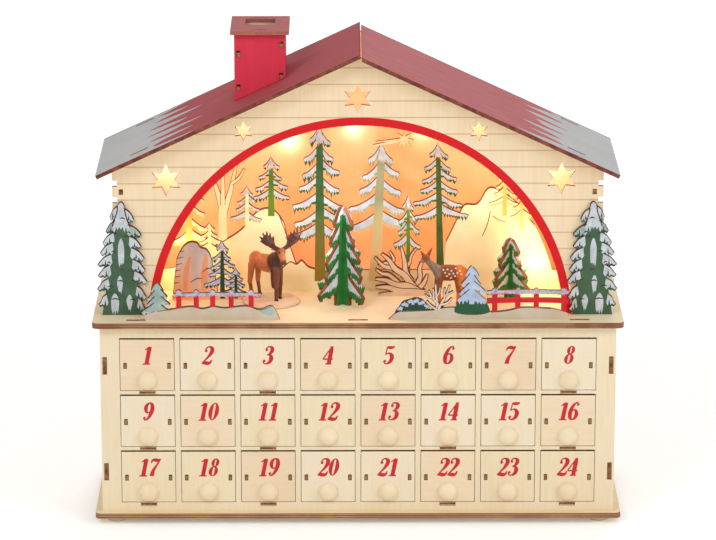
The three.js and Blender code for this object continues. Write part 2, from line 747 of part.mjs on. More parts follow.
// Snowy thicket behind the fawn
const buildThicket = () => {
  const sticks = [
    [[31, 2], [24, 16], 5, 3], [[24, 16], [13, 22], 3, 1.6], [[17, 19.5], [13.5, 30], 2.2, 1.4],
    [[28, 8], [30, 26], 3.4, 2.4], [[30, 26], [24.5, 38], 2.4, 1.4], [[30, 25], [33, 40], 2.4, 1.4],
    [[32, 2.4], [42, 14], 4, 2.6], [[42, 14], [54, 12], 2.6, 1.4], [[40, 12], [46, 27], 2.4, 1.6],
    [[45, 24], [52, 30], 1.8, 1.2], [[27, 11], [19, 10], 2.4, 1.4],
  ];
  const shapes = [bar(18, 50, 3), ...sticks.map(stick)];
  addPiece('thicket_board', boardOf(shapes, forestFront - thicketGap - sheet), snowGrey);
};

// Firs that stand in front of the house, one a mirror of the other
const buildOuterTrees = () => {
  const place = plateHalf - outerTreeInset;
  for (const [name, side] of [['tree_left', -1], ['tree_right', 1]]) {
    const shape = firOutline({
      x: side * place,
      foot: deckTop,
      top: deckTop + outerTreeHeight,
      skirt: deckTop + 0.12 * outerTreeHeight,
      half: outerTreeHalfWidth,
      tiers: 7,
      trunk: 0.85 * outerTreeHalfWidth,
      tipShare: 0.5,
      waist: 0.6,
      lift: 0.2,
      phase: side > 0 ? 1.3 : 0,
    });
    addPiece(name, boardOf([shape], houseFront - sheet), firGreen);
  }
};

// Scenery strips along the front of the deck
const leftBank = [[-160, 4], [-151, 7], [-141, 8.3], [-126, 10.6], [-117, 8.8], [-109, 10.6],
  [-100, 9.4], [-84, 11], [-74, 8], [-65, 11], [-60, 3]];
const rightBank = [[27, 4], [33, 6.5], [44, 7], [58, 7.8], [70, 9.4], [88, 8], [100, 6],
  [112, 7], [125, 9.6], [145, 8.6], [158, 5]];
const leftFence = { posts: [-134.8, -121.7, -109.3, -95.4, -80.4], postWidth: 3.8, top: 23 };
const bridge = { posts: [103, 120.3, 134.2, 155], postWidth: 4, top: 24 };

const rail = (left, right, height, width, arch) => {
  const shape = new THREE.Shape();
  const [[x0, low], [x1, high]] = above([[left, height], [right, height + width]]);
  const middle = (x0 + x1) / 2;
  const rise = 2 * arch * scene;
  shape.moveTo(x0, low);
  shape.quadraticCurveTo(middle, low + rise, x1, low);
  shape.lineTo(x1, high);
  shape.quadraticCurveTo(middle, high + rise, x0, high);
  return shape;
};

const fencePosts = ({ posts, postWidth, top }) => posts.map((x) => {
  const [[x0, low], [x1, high]] = above([[x - postWidth / 2, 4], [x + postWidth / 2, top]]);
  return roundedRectangle(x0, x1, low, high, 0.3 * (x1 - x0));
});

const buildStrips = () => {
  const frontY = plateFront + stripSetback;
  const left = [
    bank(-160.6, -59, leftBank),
    fir({ x: -156, foot: 0, top: 41, skirt: 8, half: 9, tiers: 6, trunk: 2, phase: 2.1 }),
    ...fencePosts(leftFence),
    rail(-139, -73, 17, 3.6, 1.6),
  ];
  addPiece('scenery_left', boardOf(left, frontY), snowGrey);

  const coral = [
    [[60, 4], [57.2, 30], 2.6, 1.4], [[59, 10], [51, 24], 2, 1.2], [[58.4, 16], [62.5, 27], 1.8, 1.1],
    [[60, 8], [68.5, 24], 2.2, 1.2], [[65, 17], [70, 19], 1.6, 1],
  ];
  const right = [
    bank(23, 159, rightBank),
    bank(28, 55, [[30, 8], [36, 13], [44, 15.4], [50, 13], [54, 8]]),
    bank(72, 99, [[73, 12], [79, 18], [85.6, 21.6], [92, 17], [98, 10]]),
    fir({ x: 85.6, foot: 0, top: 41, skirt: 17, half: 11.5, tiers: 4, trunk: 5, phase: 0.6 }),
    ...coral.map(stick),
    ...fencePosts(bridge),
    rail(97, 158.6, 19, 3.4, 1.6),
    rail(97, 158.6, 12.4, 3.6, 1.2),
  ];
  addPiece('scenery_right', boardOf(right, frontY), snowGrey);
};

// Standing firs: two boards slotted through each other at right angles
const crossedFir = (name, x, y, options) => {
  const board = standBoard(firOutline({ foot: 0, ...options }), -sheet / 2);
  const tree = toSolid(board.clone().rotateZ(Math.PI / 4))
    .add(toSolid(board.clone().rotateZ(-Math.PI / 4)));
  addPiece(name, toGeometry(tree), firGreen, [x, y, deckTop]);
};

const buildStandingFirs = () => {
  crossedFir('centre_tree', centreTreeX * scene, forestFront - centreTreeGap, {
    top: centreTreeHeight,
    skirt: 0.13 * centreTreeHeight,
    half: centreTreeReach,
    tiers: 5,
    trunk: 8,
    tipShare: 0.3,
  });
  crossedFir('right_tree', rightTreeX * scene, forestFront - rightTreeGap, {
    top: rightTreeHeight,
    skirt: 0.22 * rightTreeHeight,
    half: rightTreeReach,
    tiers: 4,
    trunk: 5,
    tipShare: 0.3,
  });
};

// Animals: rounded masses and tapering limbs grown together
const mass = ([x, y, z], [rx, ry, rz], pitch = 0) => new THREE.SphereGeometry(1, 7, 5)
  .scale(rx, ry, rz)
  .rotateY(pitch)
  .translate(x, y, z);

const limb = (a, b, ra, rb) => {
  const from = new THREE.Vector3(...a);
  const to = new THREE.Vector3(...b);
  const along = to.clone().sub(from);
  const turn = new THREE.Quaternion()
    .setFromUnitVectors(new THREE.Vector3(0, 1, 0), along.clone().normalize());
  return new THREE.CylinderGeometry(rb, ra, along.length(), 5)
    .applyQuaternion(turn)
    .translate(...from.add(to).multiplyScalar(0.5).toArray());
};

const legs = (frontX, rearX, spread, hip, footZ, thick) => [
  [frontX, spread], [frontX + 2, -spread], [rearX, spread], [rearX - 2, -spread],
].flatMap(([x, y]) => [
  limb([x, y * 0.8, hip], [x + 0.4, y, hip * 0.5], thick, thick * 0.62),
  limb([x + 0.4, y, hip * 0.5 + 0.5], [x + 0.4, y, footZ], thick * 0.62, thick * 0.7),
]);

const antler = (side) => {
  const at = (x, y, z) => [x, side * y - 2, z];
  const palm = at(13, 9, 50);
  return [
    limb(at(15, 0.8, 42), at(14, 5, 45.5), 1, 1.3),
    mass(palm, [1.6, 6.4, 3.6]),
    limb(at(14, 4.4, 45), palm, 1.3, 1.6),
    ...[4, 8, 11, 14.5].map((y, k) => limb(palm, at(13, y, 57 - 1.2 * k), 1.3, 0.6)),
  ];
};

const buildMoose = () => {
  const snow = new THREE.CylinderGeometry(1, 1.04, 3, 28)
    .rotateX(Math.PI / 2)
    .scale(22, 22, 1)
    .translate(4, 0, 1.5);
  const pieces = [
    snow,
    mass([-1, 0, 30], [15, 5.6, 6.6]),
    mass([8.5, 0, 31], [6.6, 5.8, 8.4]),
    mass([-11, 0, 31.5], [5.6, 5, 6.2]),
    limb([9, 0, 33], [14.5, -1.5, 40.5], 4.8, 3.2),
    mass([15.5, -2, 40.5], [4.4, 3.2, 3.6], 0.4),
    mass([19, -3.4, 37.6], [3.4, 2.4, 2.5], 0.7),
    ...legs(9, -11, 3.4, 28, 2.4, 2.7),
    ...antler(1),
    ...antler(-1),
  ];
  const body = toGeometry(joinAll(pieces))
    .rotateZ(THREE.MathUtils.degToRad(-24))
    .scale(scene, scene, scene);
  addPiece('moose', body, mooseBrown, [mooseX * scene, forestFront - mooseGap, deckTop]);
};

const buildFawn = () => {
  const pieces = [
    mass([0, 0, 26.5], [12.5, 5.2, 6.6]),
    mass([8.5, 0, 26], [5.4, 4.8, 6.8]),
    limb([-8, 0, 27], [-16.5, -1.5, 36.5], 4.2, 2.6),
    mass([-18.5, -2, 37.5], [4.4, 2.7, 2.8], -0.35),
    limb([-15.8, 0.6, 38.5], [-13.6, 3.4, 44.5], 1.7, 0.6),
    limb([-17, -3, 38.5], [-17.6, -5.6, 44.5], 1.7, 0.6),
    ...legs(-8, 8.5, 2.7, 24, 0, 2.2),
  ];
  const body = toGeometry(joinAll(pieces)).scale(scene, scene, scene);
  addPiece('fawn', body, fawnBrown, [fawnX * scene, forestFront - fawnGap, deckTop]);
};

// Light string: from the battery case along the walls and round the arch
const buildLights = () => {
  const y0 = houseFront + sheet + wireStandoff + wireRadius;
  const low = deckTop + wireStandoff + wireRadius;
  const radius = archRadius + wireOutsideArch;
  const sweep = Math.acos((low + 6 - archCentreZ) / radius);
  const wall = -houseWallInner + wireStandoff + wireRadius;
  const rear = houseBack - sheet - wireStandoff - wireRadius;
  const arc = (t) => {
    const angle = Math.PI / 2 + sweep * (1 - 2 * t);
    return new THREE.Vector3(archShift + radius * Math.cos(angle), y0,
      archCentreZ + radius * Math.sin(angle));
  };
  const points = [
    new THREE.Vector3(coverBay.left - caseWall - 1.2, rear, low),
    new THREE.Vector3((coverBay.left + wall) / 2, rear, low),
    new THREE.Vector3(wall + 4, rear - 1, low),
    new THREE.Vector3(wall + 1, rear - 8, low),
    new THREE.Vector3(wall + 1, (rear + y0) / 2, low),
    new THREE.Vector3(wall + 1, y0 + 9, low),
    new THREE.Vector3(wall + 6, y0 + 1, low + 1),
  ];
  const steps = 24;
  for (let k = 0; k <= steps; k += 1) points.push(arc(k / steps));
  const path = new THREE.CatmullRomCurve3(points, false, 'centripetal');
  const section = outline([0, 1, 2, 3, 4, 5].map((k) => [
    wireRadius * Math.cos((k * Math.PI) / 3), wireRadius * Math.sin((k * Math.PI) / 3)]));
  const wire = new THREE.ExtrudeGeometry(section, {
    steps: 60, extrudePath: path, bevelEnabled: false,
  });
  const bulbs = [];
  for (let k = 0; k < bulbCount; k += 1) {
    const place = arc((k + 0.5) / bulbCount);
    bulbs.push(new THREE.OctahedronGeometry(bulbRadius, 1)
      .translate(place.x, place.y + bulbRadius - wireRadius, place.z));
  }
  addPiece('led_string', toGeometry(joinAll([wire, ...bulbs])), lampWhite);

  const caseLeft = coverBay.left - caseWall;
  const caseBottom = deckTop + seatClearance;
  const shell = block(caseLeft, caseLeft + caseWidth, rearFace - caseDepth, rearFace,
    caseBottom, caseBottom + caseHeight);
  const bay = block(coverBay.left, coverBay.left + coverBay.width + coverTravel,
    rearFace - caseDepth + caseWall, rearFace + 1, coverBay.bottom, coverBay.top);
  const switchSlot = block(switchLeft - coverClearance,
    switchLeft + switchWidth + switchTravel + coverClearance, rearFace - 3, rearFace + 1,
    switchMiddleZ - switchHeight / 2 - coverClearance,
    switchMiddleZ + switchHeight / 2 + coverClearance);
  const batteryCase = toSolid(shell).subtract(toSolid(bay)).subtract(toSolid(switchSlot));
  addPiece('battery_case', toGeometry(batteryCase), plasticWhite);

  const coverLeft = coverBay.left + coverClearance;
  const cover = block(coverLeft, coverLeft + coverBay.width, rearFace + coverClearance / 2,
    houseBack, coverBay.bottom + coverClearance, coverBay.top - coverClearance);
  addPiece('battery_cover', cover, plasticWhite);
  const knob = block(switchLeft, switchLeft + switchWidth, rearFace - 2.6, houseBack + 1,
    switchMiddleZ - switchHeight / 2, switchMiddleZ + switchHeight / 2);
  addPiece('power_switch', knob, plasticBlack);
};

buildFeet();
buildPlates();
buildCabinet();
buildTiers();
buildDrawers();
buildHouse();
buildRoof();
buildChimney();
buildForest();
buildRock();
buildThicket();
buildOuterTrees();
buildStrips();
buildStandingFirs();
buildMoose();
buildFawn();
buildLights();

export default model;
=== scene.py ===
"""Looks of a wooden advent calendar: a birch cabinet of numbered drawers under a lit winter house.

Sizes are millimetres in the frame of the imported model; meshes are made in metres.
"""

import math

import bmesh
import bpy
from mathutils import Matrix, Vector, noise
from mathutils.geometry import delaunay_2d_cdt


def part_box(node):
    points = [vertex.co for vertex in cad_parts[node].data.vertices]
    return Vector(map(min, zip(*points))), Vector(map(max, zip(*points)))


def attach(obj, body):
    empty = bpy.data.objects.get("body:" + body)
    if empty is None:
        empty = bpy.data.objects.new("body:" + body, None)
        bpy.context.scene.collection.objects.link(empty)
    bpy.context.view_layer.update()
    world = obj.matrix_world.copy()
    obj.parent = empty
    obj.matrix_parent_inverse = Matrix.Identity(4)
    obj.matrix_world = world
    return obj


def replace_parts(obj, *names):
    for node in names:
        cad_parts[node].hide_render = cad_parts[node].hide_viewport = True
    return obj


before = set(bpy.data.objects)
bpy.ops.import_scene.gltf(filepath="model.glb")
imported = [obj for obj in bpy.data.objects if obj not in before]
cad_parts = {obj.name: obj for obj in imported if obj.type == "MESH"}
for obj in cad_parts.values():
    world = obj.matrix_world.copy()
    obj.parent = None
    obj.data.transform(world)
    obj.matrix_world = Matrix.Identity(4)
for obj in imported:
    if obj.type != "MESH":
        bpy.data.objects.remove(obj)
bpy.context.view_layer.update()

MM = 0.001
ROOT = "calendar"


def box_mm(node):
    low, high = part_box(node)
    return low / MM, high / MM


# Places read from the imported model
deck_low, deck_high = box_mm("deck_plate")
deck_top = deck_high.z
face_low = box_mm("face_frame")[0]
gable_low, gable_high = box_mm("house_front")
back_low = box_mm("house_back")[0]
wall_high = box_mm("house_left_wall")[1]
roof_low, roof_high = box_mm("roof_left")
stack_low, stack_high = box_mm("chimney_stack")
cap_low, cap_high = box_mm("chimney_cap")
sheet = gable_high.y - gable_low.y
house_half = gable_high.x

# House lines that its front sheet and roof were drawn from
arch_drop = 7.75
arch_shift = 1.6
leg_width = 30.7
arch_half = house_half - leg_width
arch_radius = math.hypot(arch_half, arch_drop)
arch_z = deck_top - arch_drop
groove_spacing = 12.7
roof_pitch = math.radians(25)
red_band = 6.3


# Colours, written as they look on a screen
def rgb(red, green, blue):
    return tuple(
        (c / 255 / 12.92) if c / 255 <= 0.04045 else ((c / 255 + 0.055) / 1.055) ** 2.4
        for c in (red, green, blue)
    ) + (1.0,)


BIRCH = rgb(240, 225, 194)
BIRCH_DARK = rgb(228, 206, 166)
BURNT = rgb(96, 58, 34)
BURNT_LIGHT = rgb(168, 120, 72)
PLY_DARK = rgb(88, 46, 32)
PLY_LIGHT = rgb(212, 162, 118)
BAND_RED = rgb(214, 22, 30)
NUMBER_RED = rgb(206, 44, 52)
ROOF_RED = rgb(180, 84, 88)
ROOF_DARK = rgb(150, 66, 70)
# Right roof board: the red stain painted lighter and pinker, a painted sheen for the glare on that slope
ROOF_SHEEN_PINK = rgb(190, 108, 110)
ROOF_SHEEN_PINK_DARK = rgb(164, 84, 88)
ROOF_SNOW = rgb(190, 190, 190)
CHIMNEY_RED = rgb(221, 56, 79)


class Nodes:
    """Short way to wire one material."""

    def __init__(self, name, roughness=0.6):
        self.material = bpy.data.materials.new(name)
        self.material.use_nodes = True
        self.tree = self.material.node_tree
        self.shader = self.tree.nodes["Principled BSDF"]
        self.shader.inputs["Roughness"].default_value = roughness
        self.shader.inputs["Specular IOR Level"].default_value = 0.25
        self.place = self.add("ShaderNodeTexCoord")

    def add(self, kind, **settings):
        node = self.tree.nodes.new(kind)
        for key, value in settings.items():
            setattr(node, key, value)
        return node

    def link(self, source, target):
        self.tree.links.new(source, target)

    def feed(self, socket, value):
        if isinstance(value, bpy.types.NodeSocket):
            self.link(value, socket)
        else:
            socket.default_value = value

    def math(self, operation, a, b=0.0, c=0.0):
        node = self.add("ShaderNodeMath", operation=operation)
        for socket, value in zip(node.inputs, (a, b, c)):
            self.feed(socket, value)
        return node.outputs[0]

    def mix(self, share, a, b):
        node = self.add("ShaderNodeMix", data_type="RGBA")
        self.feed(node.inputs["Factor"], share)
        self.feed(node.inputs["A"], a)
        self.feed(node.inputs["B"], b)
        return node.outputs["Result"]

    def split(self, output="Object"):
        """X, Y and Z of the place, or of the normal."""
        node = self.add("ShaderNodeSeparateXYZ")
        self.link(self.place.outputs[output], node.inputs[0])
        return node.outputs

    def stretched(self, scale):
        node = self.add("ShaderNodeMapping")
        node.inputs["Scale"].default_value = scale
        self.link(self.place.outputs["Object"], node.inputs["Vector"])
        return node.outputs[0]

    def noise(self, scale, vector=None, detail=3.0, rough=0.55):
        node = self.add("ShaderNodeTexNoise")
        node.inputs["Scale"].default_value = scale
        node.inputs["Detail"].default_value = detail
        node.inputs["Roughness"].default_value = rough
        self.link(vector or self.place.outputs["Object"], node.inputs["Vector"])
        return node.outputs["Fac"]

    def between(self, value, low, high):
        """0 below low, 1 above high."""
        node = self.add("ShaderNodeMapRange")
        node.inputs["From Min"].default_value = low
        node.inputs["From Max"].default_value = high
        self.feed(node.inputs["Value"], value)
        return node.outputs["Result"]

    def bump(self, height, distance, strength=0.5):
        node = self.add("ShaderNodeBump")
        node.inputs["Distance"].default_value = distance * MM
        node.inputs["Strength"].default_value = strength
        self.link(height, node.inputs["Height"])
        self.link(node.outputs[0], self.shader.inputs["Normal"])

    def colour(self, value):
        self.feed(self.shader.inputs["Base Color"], value)
        return self.material


FACE_LIMIT = 0.8
GRAIN = {"x": (30, 420, 420), "y": (420, 30, 420), "z": (420, 420, 30)}


def grained(nodes, light, dark, along):
    """Birch face: fine fibres along one axis and broad pale clouds."""
    fibre = nodes.noise(1.0, nodes.stretched(GRAIN[along]), 4.0, 0.6)
    cloud = nodes.noise(14.0, detail=2.0)
    share = nodes.math("ADD", nodes.between(fibre, 0.35, 0.8), nodes.between(cloud, 0.3, 0.9))
    nodes.bump(fibre, 0.08, 0.25)
    return nodes.mix(nodes.math("MULTIPLY", share, 0.5), light, dark)


def cut_from(nodes, across, face, edge):
    """Material of a sheet whose faces look along the axis named by across, and whose other sides are cut."""
    normal = nodes.split("Normal")
    facing = nodes.math("ABSOLUTE", normal["XYZ".index(across.upper())])
    cut = nodes.math("LESS_THAN", facing, FACE_LIMIT)
    return nodes.mix(cut, face, edge)


def charred(nodes, dark=BURNT, light=BURNT_LIGHT):
    """Laser-cut edge: brown char with lighter flecks."""
    fleck = nodes.noise(260.0, detail=2.0)
    return nodes.mix(nodes.between(fleck, 0.35, 0.75), dark, light)


def birch_sheet(name, across, along, light=BIRCH, dark=BIRCH_DARK, char=BURNT):
    nodes = Nodes(name)
    face = grained(nodes, light, dark, along)
    return nodes.colour(cut_from(nodes, across, face, charred(nodes, char)))


def plain_birch(name, along):
    """Birch on every face, for parts glued up from thin boards."""
    nodes = Nodes(name)
    return nodes.colour(grained(nodes, BIRCH, BIRCH_DARK, along))


def back_sheet(name):
    """House back: birch outside, and inside a warm peach tone painted on as the lamp light that falls there.
    """
    nodes = Nodes(name)
    # Painted lamp light: the inside face is tinted warm peach for the string's glow on it
    inside = grained(nodes, rgb(244, 190, 156), rgb(238, 176, 138), "z")
    outside = grained(nodes, BIRCH, BIRCH_DARK, "z")
    normal = nodes.split("Normal")
    face = nodes.mix(nodes.math("GREATER_THAN", normal[1], 0.5), inside, outside)
    return nodes.colour(cut_from(nodes, "y", face, charred(nodes)))


TAB_SLIT_HALF = 0.9
TAB_END = rgb(214, 188, 148)


def shelf_sheet(name, middle):
    """A shelf whose tab ends show a dark slit at mid height."""
    nodes = Nodes(name)
    face = grained(nodes, BIRCH, BIRCH_DARK, "x")
    _, y, z = nodes.split()
    off = nodes.math("ABSOLUTE", nodes.math("SUBTRACT", z, middle * MM))
    slit = nodes.math("LESS_THAN", off, TAB_SLIT_HALF * MM)
    front = nodes.math("LESS_THAN", y, (face_low.y + 0.5 * sheet) * MM)
    plain = nodes.math("MULTIPLY", front, nodes.math("SUBTRACT", 1.0, slit))
    edge = nodes.mix(plain, charred(nodes), TAB_END)
    return nodes.colour(cut_from(nodes, "z", face, edge))


def plate_sheet(name, low, thick, light, dark, smoke_and_shade):
    """A thick plate: its rim shows dark and pale plies, darkened in brown patches by laser smoke, and on the
    deck more strongly as painted shade.
    """
    nodes = Nodes(name)
    face = grained(nodes, light, dark, "x")
    z = nodes.split()[2]
    wander = nodes.math("MULTIPLY", nodes.noise(60.0), 0.35)
    level = nodes.math("DIVIDE", nodes.math("SUBTRACT", z, low * MM), thick * MM)
    ply = nodes.math("PINGPONG", nodes.math("MULTIPLY_ADD", level, 3.0, wander), 0.5)
    rim = nodes.mix(nodes.between(ply, 0.16, 0.32), PLY_DARK, PLY_LIGHT)
    share = nodes.math("MULTIPLY", nodes.between(nodes.noise(40.0), 0.3, 0.6), smoke_and_shade)
    smoke_and_shade_rim = nodes.mix(share, rim, rgb(118, 70, 46))
    return nodes.colour(cut_from(nodes, "z", face, smoke_and_shade_rim))


def house_sheet(name):
    """Gable: engraved board lines, and a red band round the arch on its front."""
    nodes = Nodes(name)
    face = grained(nodes, rgb(243, 224, 192), rgb(232, 204, 164), "z")
    x, y, z = nodes.split()
    level = nodes.math("SUBTRACT", z, deck_top * MM)
    line = nodes.math("PINGPONG", level, groove_spacing / 2 * MM)
    groove = nodes.between(line, 0.8 * MM, 0.2 * MM)
    engraved = nodes.mix(nodes.math("MULTIPLY", groove, 0.6), face, rgb(196, 146, 92))
    squares = [nodes.math("POWER", nodes.math("SUBTRACT", place, middle * MM), 2)
               for place, middle in ((x, arch_shift), (z, arch_z))]
    reach = nodes.math("SQRT", nodes.math("ADD", *squares))
    inside = nodes.math("LESS_THAN", reach, (arch_radius + red_band) * MM)
    front = nodes.math("LESS_THAN", y, (gable_low.y + 0.8 * sheet) * MM)
    band = nodes.math("MULTIPLY", inside, front)
    cut = cut_from(nodes, "y", engraved, charred(nodes))
    return nodes.colour(nodes.mix(band, cut, BAND_RED))


EAVE_SNOW = 38
SPIKE_LEAST = 16
SPIKE_MOST = 36
SPIKE_FINE = 9
SPIKE_STEP = 9.5
SPIKE_FINE_STEP = 5.3
REAR_SCORCH = 2.2
RIDGE_SCORCH = 1.0


def roof_sheet(name, side):
    """Roof board: dull red stain with grain down the slope, painted lighter and pinker on the right board as
    a painted sheen, and grey snow that runs up from the eave.
    """
    nodes = Nodes(name, 0.7)
    x, y, _ = nodes.split()
    eave = -roof_low.x
    inward = nodes.math("SUBTRACT", eave * MM, nodes.math("ABSOLUTE", x))
    down = nodes.math("DIVIDE", inward, math.cos(roof_pitch))
    fibre = nodes.noise(1.0, nodes.stretched((40, 520, 40)), 4.0, 0.65)
    # The right board (side > 0) takes the lighter pink tones: painted sheen, not a different stain
    light, dark = (ROOF_SHEEN_PINK, ROOF_SHEEN_PINK_DARK) if side > 0 else (ROOF_RED, ROOF_DARK)
    stain_and_sheen = nodes.mix(nodes.between(fibre, 0.35, 0.75), light, dark)
    place = nodes.math("MULTIPLY_ADD", y, 1000, 400 + 37 * side)
    wave = nodes.math("PINGPONG", nodes.math("DIVIDE", place, SPIKE_STEP), 1.0)
    fine = nodes.math("PINGPONG", nodes.math("DIVIDE", place, SPIKE_FINE_STEP), 1.0)
    drift = nodes.add("ShaderNodeTexNoise", noise_dimensions="1D")
    drift.inputs["Scale"].default_value = 0.07
    drift.inputs["Detail"].default_value = 0.0
    nodes.link(place, drift.inputs["W"])
    length = nodes.math("MULTIPLY_ADD", drift.outputs["Fac"], SPIKE_MOST * MM, SPIKE_LEAST * MM)
    spikes = nodes.math("MULTIPLY_ADD", fine, SPIKE_FINE * MM, nodes.math("MULTIPLY", wave, length))
    limit = nodes.math("ADD", spikes, EAVE_SNOW * MM)
    snowy = nodes.between(nodes.math("SUBTRACT", limit, down), -0.6 * MM, 0.6 * MM)
    tone = nodes.mix(nodes.between(nodes.noise(30.0), 0.3, 0.8), ROOF_SNOW, rgb(176, 177, 179))
    face = nodes.mix(snowy, stain_and_sheen, tone)
    rear = nodes.math("GREATER_THAN", y, (roof_high.y - REAR_SCORCH) * MM)
    ridge = nodes.math("GREATER_THAN", nodes.math("MULTIPLY", x, -side), (roof_high.x - RIDGE_SCORCH) * MM)
    scorched = nodes.math("MULTIPLY", nodes.math("MAXIMUM", rear, ridge), 0.7)
    face = nodes.mix(scorched, face, rgb(92, 70, 66))
    nodes.bump(fibre, 0.1, 0.2)
    normal = nodes.split("Normal")
    upper = nodes.math("GREATER_THAN", normal[2], 0.6)
    under = nodes.math("LESS_THAN", normal[2], -0.6)
    ply = nodes.mix(nodes.between(nodes.noise(200.0), 0.4, 0.7), rgb(104, 50, 44), rgb(150, 84, 62))
    rest = nodes.mix(under, ply, grained(nodes, BIRCH, BIRCH_DARK, "y"))
    return nodes.colour(nodes.mix(upper, rest, face))


def stained(name, across, colour, deep, char=BURNT):
    """A stained sheet with burnt edges."""
    nodes = Nodes(name, 0.65)
    fibre = nodes.noise(1.0, nodes.stretched((200, 200, 30)), 3.0)
    face = nodes.mix(nodes.between(fibre, 0.3, 0.8), colour, deep)
    nodes.bump(fibre, 0.06, 0.2)
    return nodes.colour(cut_from(nodes, across, face, charred(nodes, char, deep)))


def dimmed(colour, share):
    return tuple(c * share for c in colour[:3]) + (1.0,)


def paint(name, colour, deep=None, fade=None, mottle=90.0, roughness=0.62):
    """Brushed paint with soft mottling; fade is (colour, low, high) of a tone that comes in at the foot."""
    nodes = Nodes(name, roughness)
    deep = deep or dimmed(colour, 0.8)
    brush = nodes.noise(mottle, detail=3.0)
    tone = nodes.mix(nodes.between(brush, 0.35, 0.7), colour, deep)
    if fade:
        foot, low, high = fade
        z = nodes.split()[2]
        tone = nodes.mix(nodes.between(z, high * MM, low * MM), tone, foot)
    nodes.bump(brush, 0.05, 0.3)
    return nodes.colour(tone)


def plastic(name, colour):
    nodes = Nodes(name, 0.42)
    grit = nodes.noise(900.0, detail=1.0)
    nodes.bump(grit, 0.03, 0.2)
    return nodes.colour(nodes.mix(nodes.between(grit, 0.2, 0.9), colour, dimmed(colour, 0.93)))


# Outlines in a plane
def arc(x, z, radius, start, end, steps=12, squash=1.0):
    """Points on an arc; angles in degrees."""
    turns = [math.radians(start + (end - start) * k / steps) for k in range(steps + 1)]
    return [(x + radius * math.cos(t), z + radius * squash * math.sin(t)) for t in turns]


def curve(points, steps=5, closed=False):
    """A smooth line through the points; each point may carry a width as its third number."""
    count = len(points)
    result = []
    spans = count if closed else count - 1
    for i in range(spans):
        if closed:
            p = [points[(i + k) % count] for k in (-1, 0, 1, 2)]
        else:
            p = [points[max(0, min(count - 1, i + k))] for k in (-1, 0, 1, 2)]
        for s in range(steps):
            t = s / steps
            result.append(tuple(
                0.5 * (2 * b + (c - a) * t + (2 * a - 5 * b + 4 * c - d) * t * t
                       + (3 * b - a - 3 * c + d) * t ** 3)
                for a, b, c, d in zip(*p)
            ))
    if not closed:
        result.append(tuple(points[-1]))
    return result


def stroke(line, closed=False):
    """Short overlapping outlines along a line of (x, z, width) points."""
    pieces = []
    last = len(line) if closed else len(line) - 1
    for i in range(last):
        x0, z0, w0 = line[i]
        x1, z1, w1 = line[(i + 1) % len(line)]
        length = math.hypot(x1 - x0, z1 - z0) or 1e-6
        nx, nz = -(z1 - z0) / length / 2, (x1 - x0) / length / 2
        ex, ez = (x1 - x0) / length * w1 * 0.12, (z1 - z0) / length * w1 * 0.12
        pieces.append([
            (x0 - ex + nx * w0, z0 - ez + nz * w0), (x0 - ex - nx * w0, z0 - ez - nz * w0),
            (x1 + ex - nx * w1, z1 + ez - nz * w1), (x1 + ex + nx * w1, z1 + ez + nz * w1),
        ])
    return pieces


def rectangle(x0, x1, z0, z1):
    return [(x0, z0), (x1, z0), (x1, z1), (x0, z1)]


def ccw(points):
    area = sum(a[0] * b[1] - b[0] * a[1] for a, b in zip(points, points[1:] + points[:1]))
    return points if area > 0 else points[::-1]


# Meshes
def mesh_data(name, mesh, materials):
    """Mesh data from a finished bmesh, with its materials in order."""
    data = bpy.data.meshes.new(name)
    mesh.to_mesh(data)
    mesh.free()
    for material in materials:
        data.materials.append(material)
    return data


def piece(name, mesh, body, smooth=False):
    obj = bpy.data.objects.new(name, mesh)
    bpy.context.scene.collection.objects.link(obj)
    if smooth:
        mesh.polygons.foreach_set("use_smooth", [True] * len(mesh.polygons))
    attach(obj, body)
    return obj


def standing(y):
    """Outline in X and Z, the front face at y."""
    return lambda a, b, depth: (a, y + depth, b)


def lying(z):
    """Outline in X and Y, the upper face at z."""
    return lambda a, b, depth: (a, b, z - depth)


def sideways(x, side=1):
    """Outline in Y and Z, the outer face at x."""
    return lambda a, b, depth: (x + side * depth, a, b)


SOLID, HOLE, PAINT = "solid", "hole", "paint"


def board(name, shapes, place, thick, edge, body=ROOT, back=None):
    """A sheet cut from joined outlines. Each shape is (kind, outline, material): solids make the sheet,
    holes cut it, and the last shape that covers a spot gives its face the material."""
    points = []
    loops = []
    for _, line, _ in shapes:
        line = ccw([tuple(p[:2]) for p in line])
        loops.append(list(range(len(points), len(points) + len(line))))
        points.extend(Vector(p) for p in line)
    flat, _, faces, _, _, owners = delaunay_2d_cdt(points, [], loops, 1, 1e-4)
    kept = []
    for corners, owner in zip(faces, owners):
        kinds = {shapes[i][0] for i in owner}
        if SOLID in kinds and HOLE not in kinds:
            top = max(i for i in owner if shapes[i][2] is not None)
            kept.append((corners, shapes[top][2]))
    materials = [edge, back or edge]
    for _, material in kept:
        if material not in materials:
            materials.append(material)
    mesh = bmesh.new()
    front = {}
    rear = {}
    for corners, _ in kept:
        for i in corners:
            if i not in front:
                front[i] = mesh.verts.new(Vector(place(*flat[i], 0.0)) * MM)
                rear[i] = mesh.verts.new(Vector(place(*flat[i], thick)) * MM)
    used = {}
    for corners, material in kept:
        mesh.faces.new([front[i] for i in corners]).material_index = materials.index(material)
        mesh.faces.new([rear[i] for i in reversed(corners)]).material_index = 1
        for a, b in zip(corners, corners[1:] + corners[:1]):
            used[(a, b)] = True
    for a, b in used:
        if (b, a) not in used:
            mesh.faces.new([front[b], front[a], rear[a], rear[b]]).material_index = 0
    bmesh.ops.recalc_face_normals(mesh, faces=mesh.faces)
    return piece(name, mesh_data(name, mesh, materials), body)


def ring_around(mesh, centre, turn, radius, height, count):
    """Vertices of a circle round an axis that turn gives, at a height along it."""
    ring = []
    for k in range(count):
        angle = 2 * math.pi * k / count
        spot = turn @ Vector((radius * math.cos(angle), radius * math.sin(angle), height))
        ring.append(mesh.verts.new((centre + spot) * MM))
    return ring


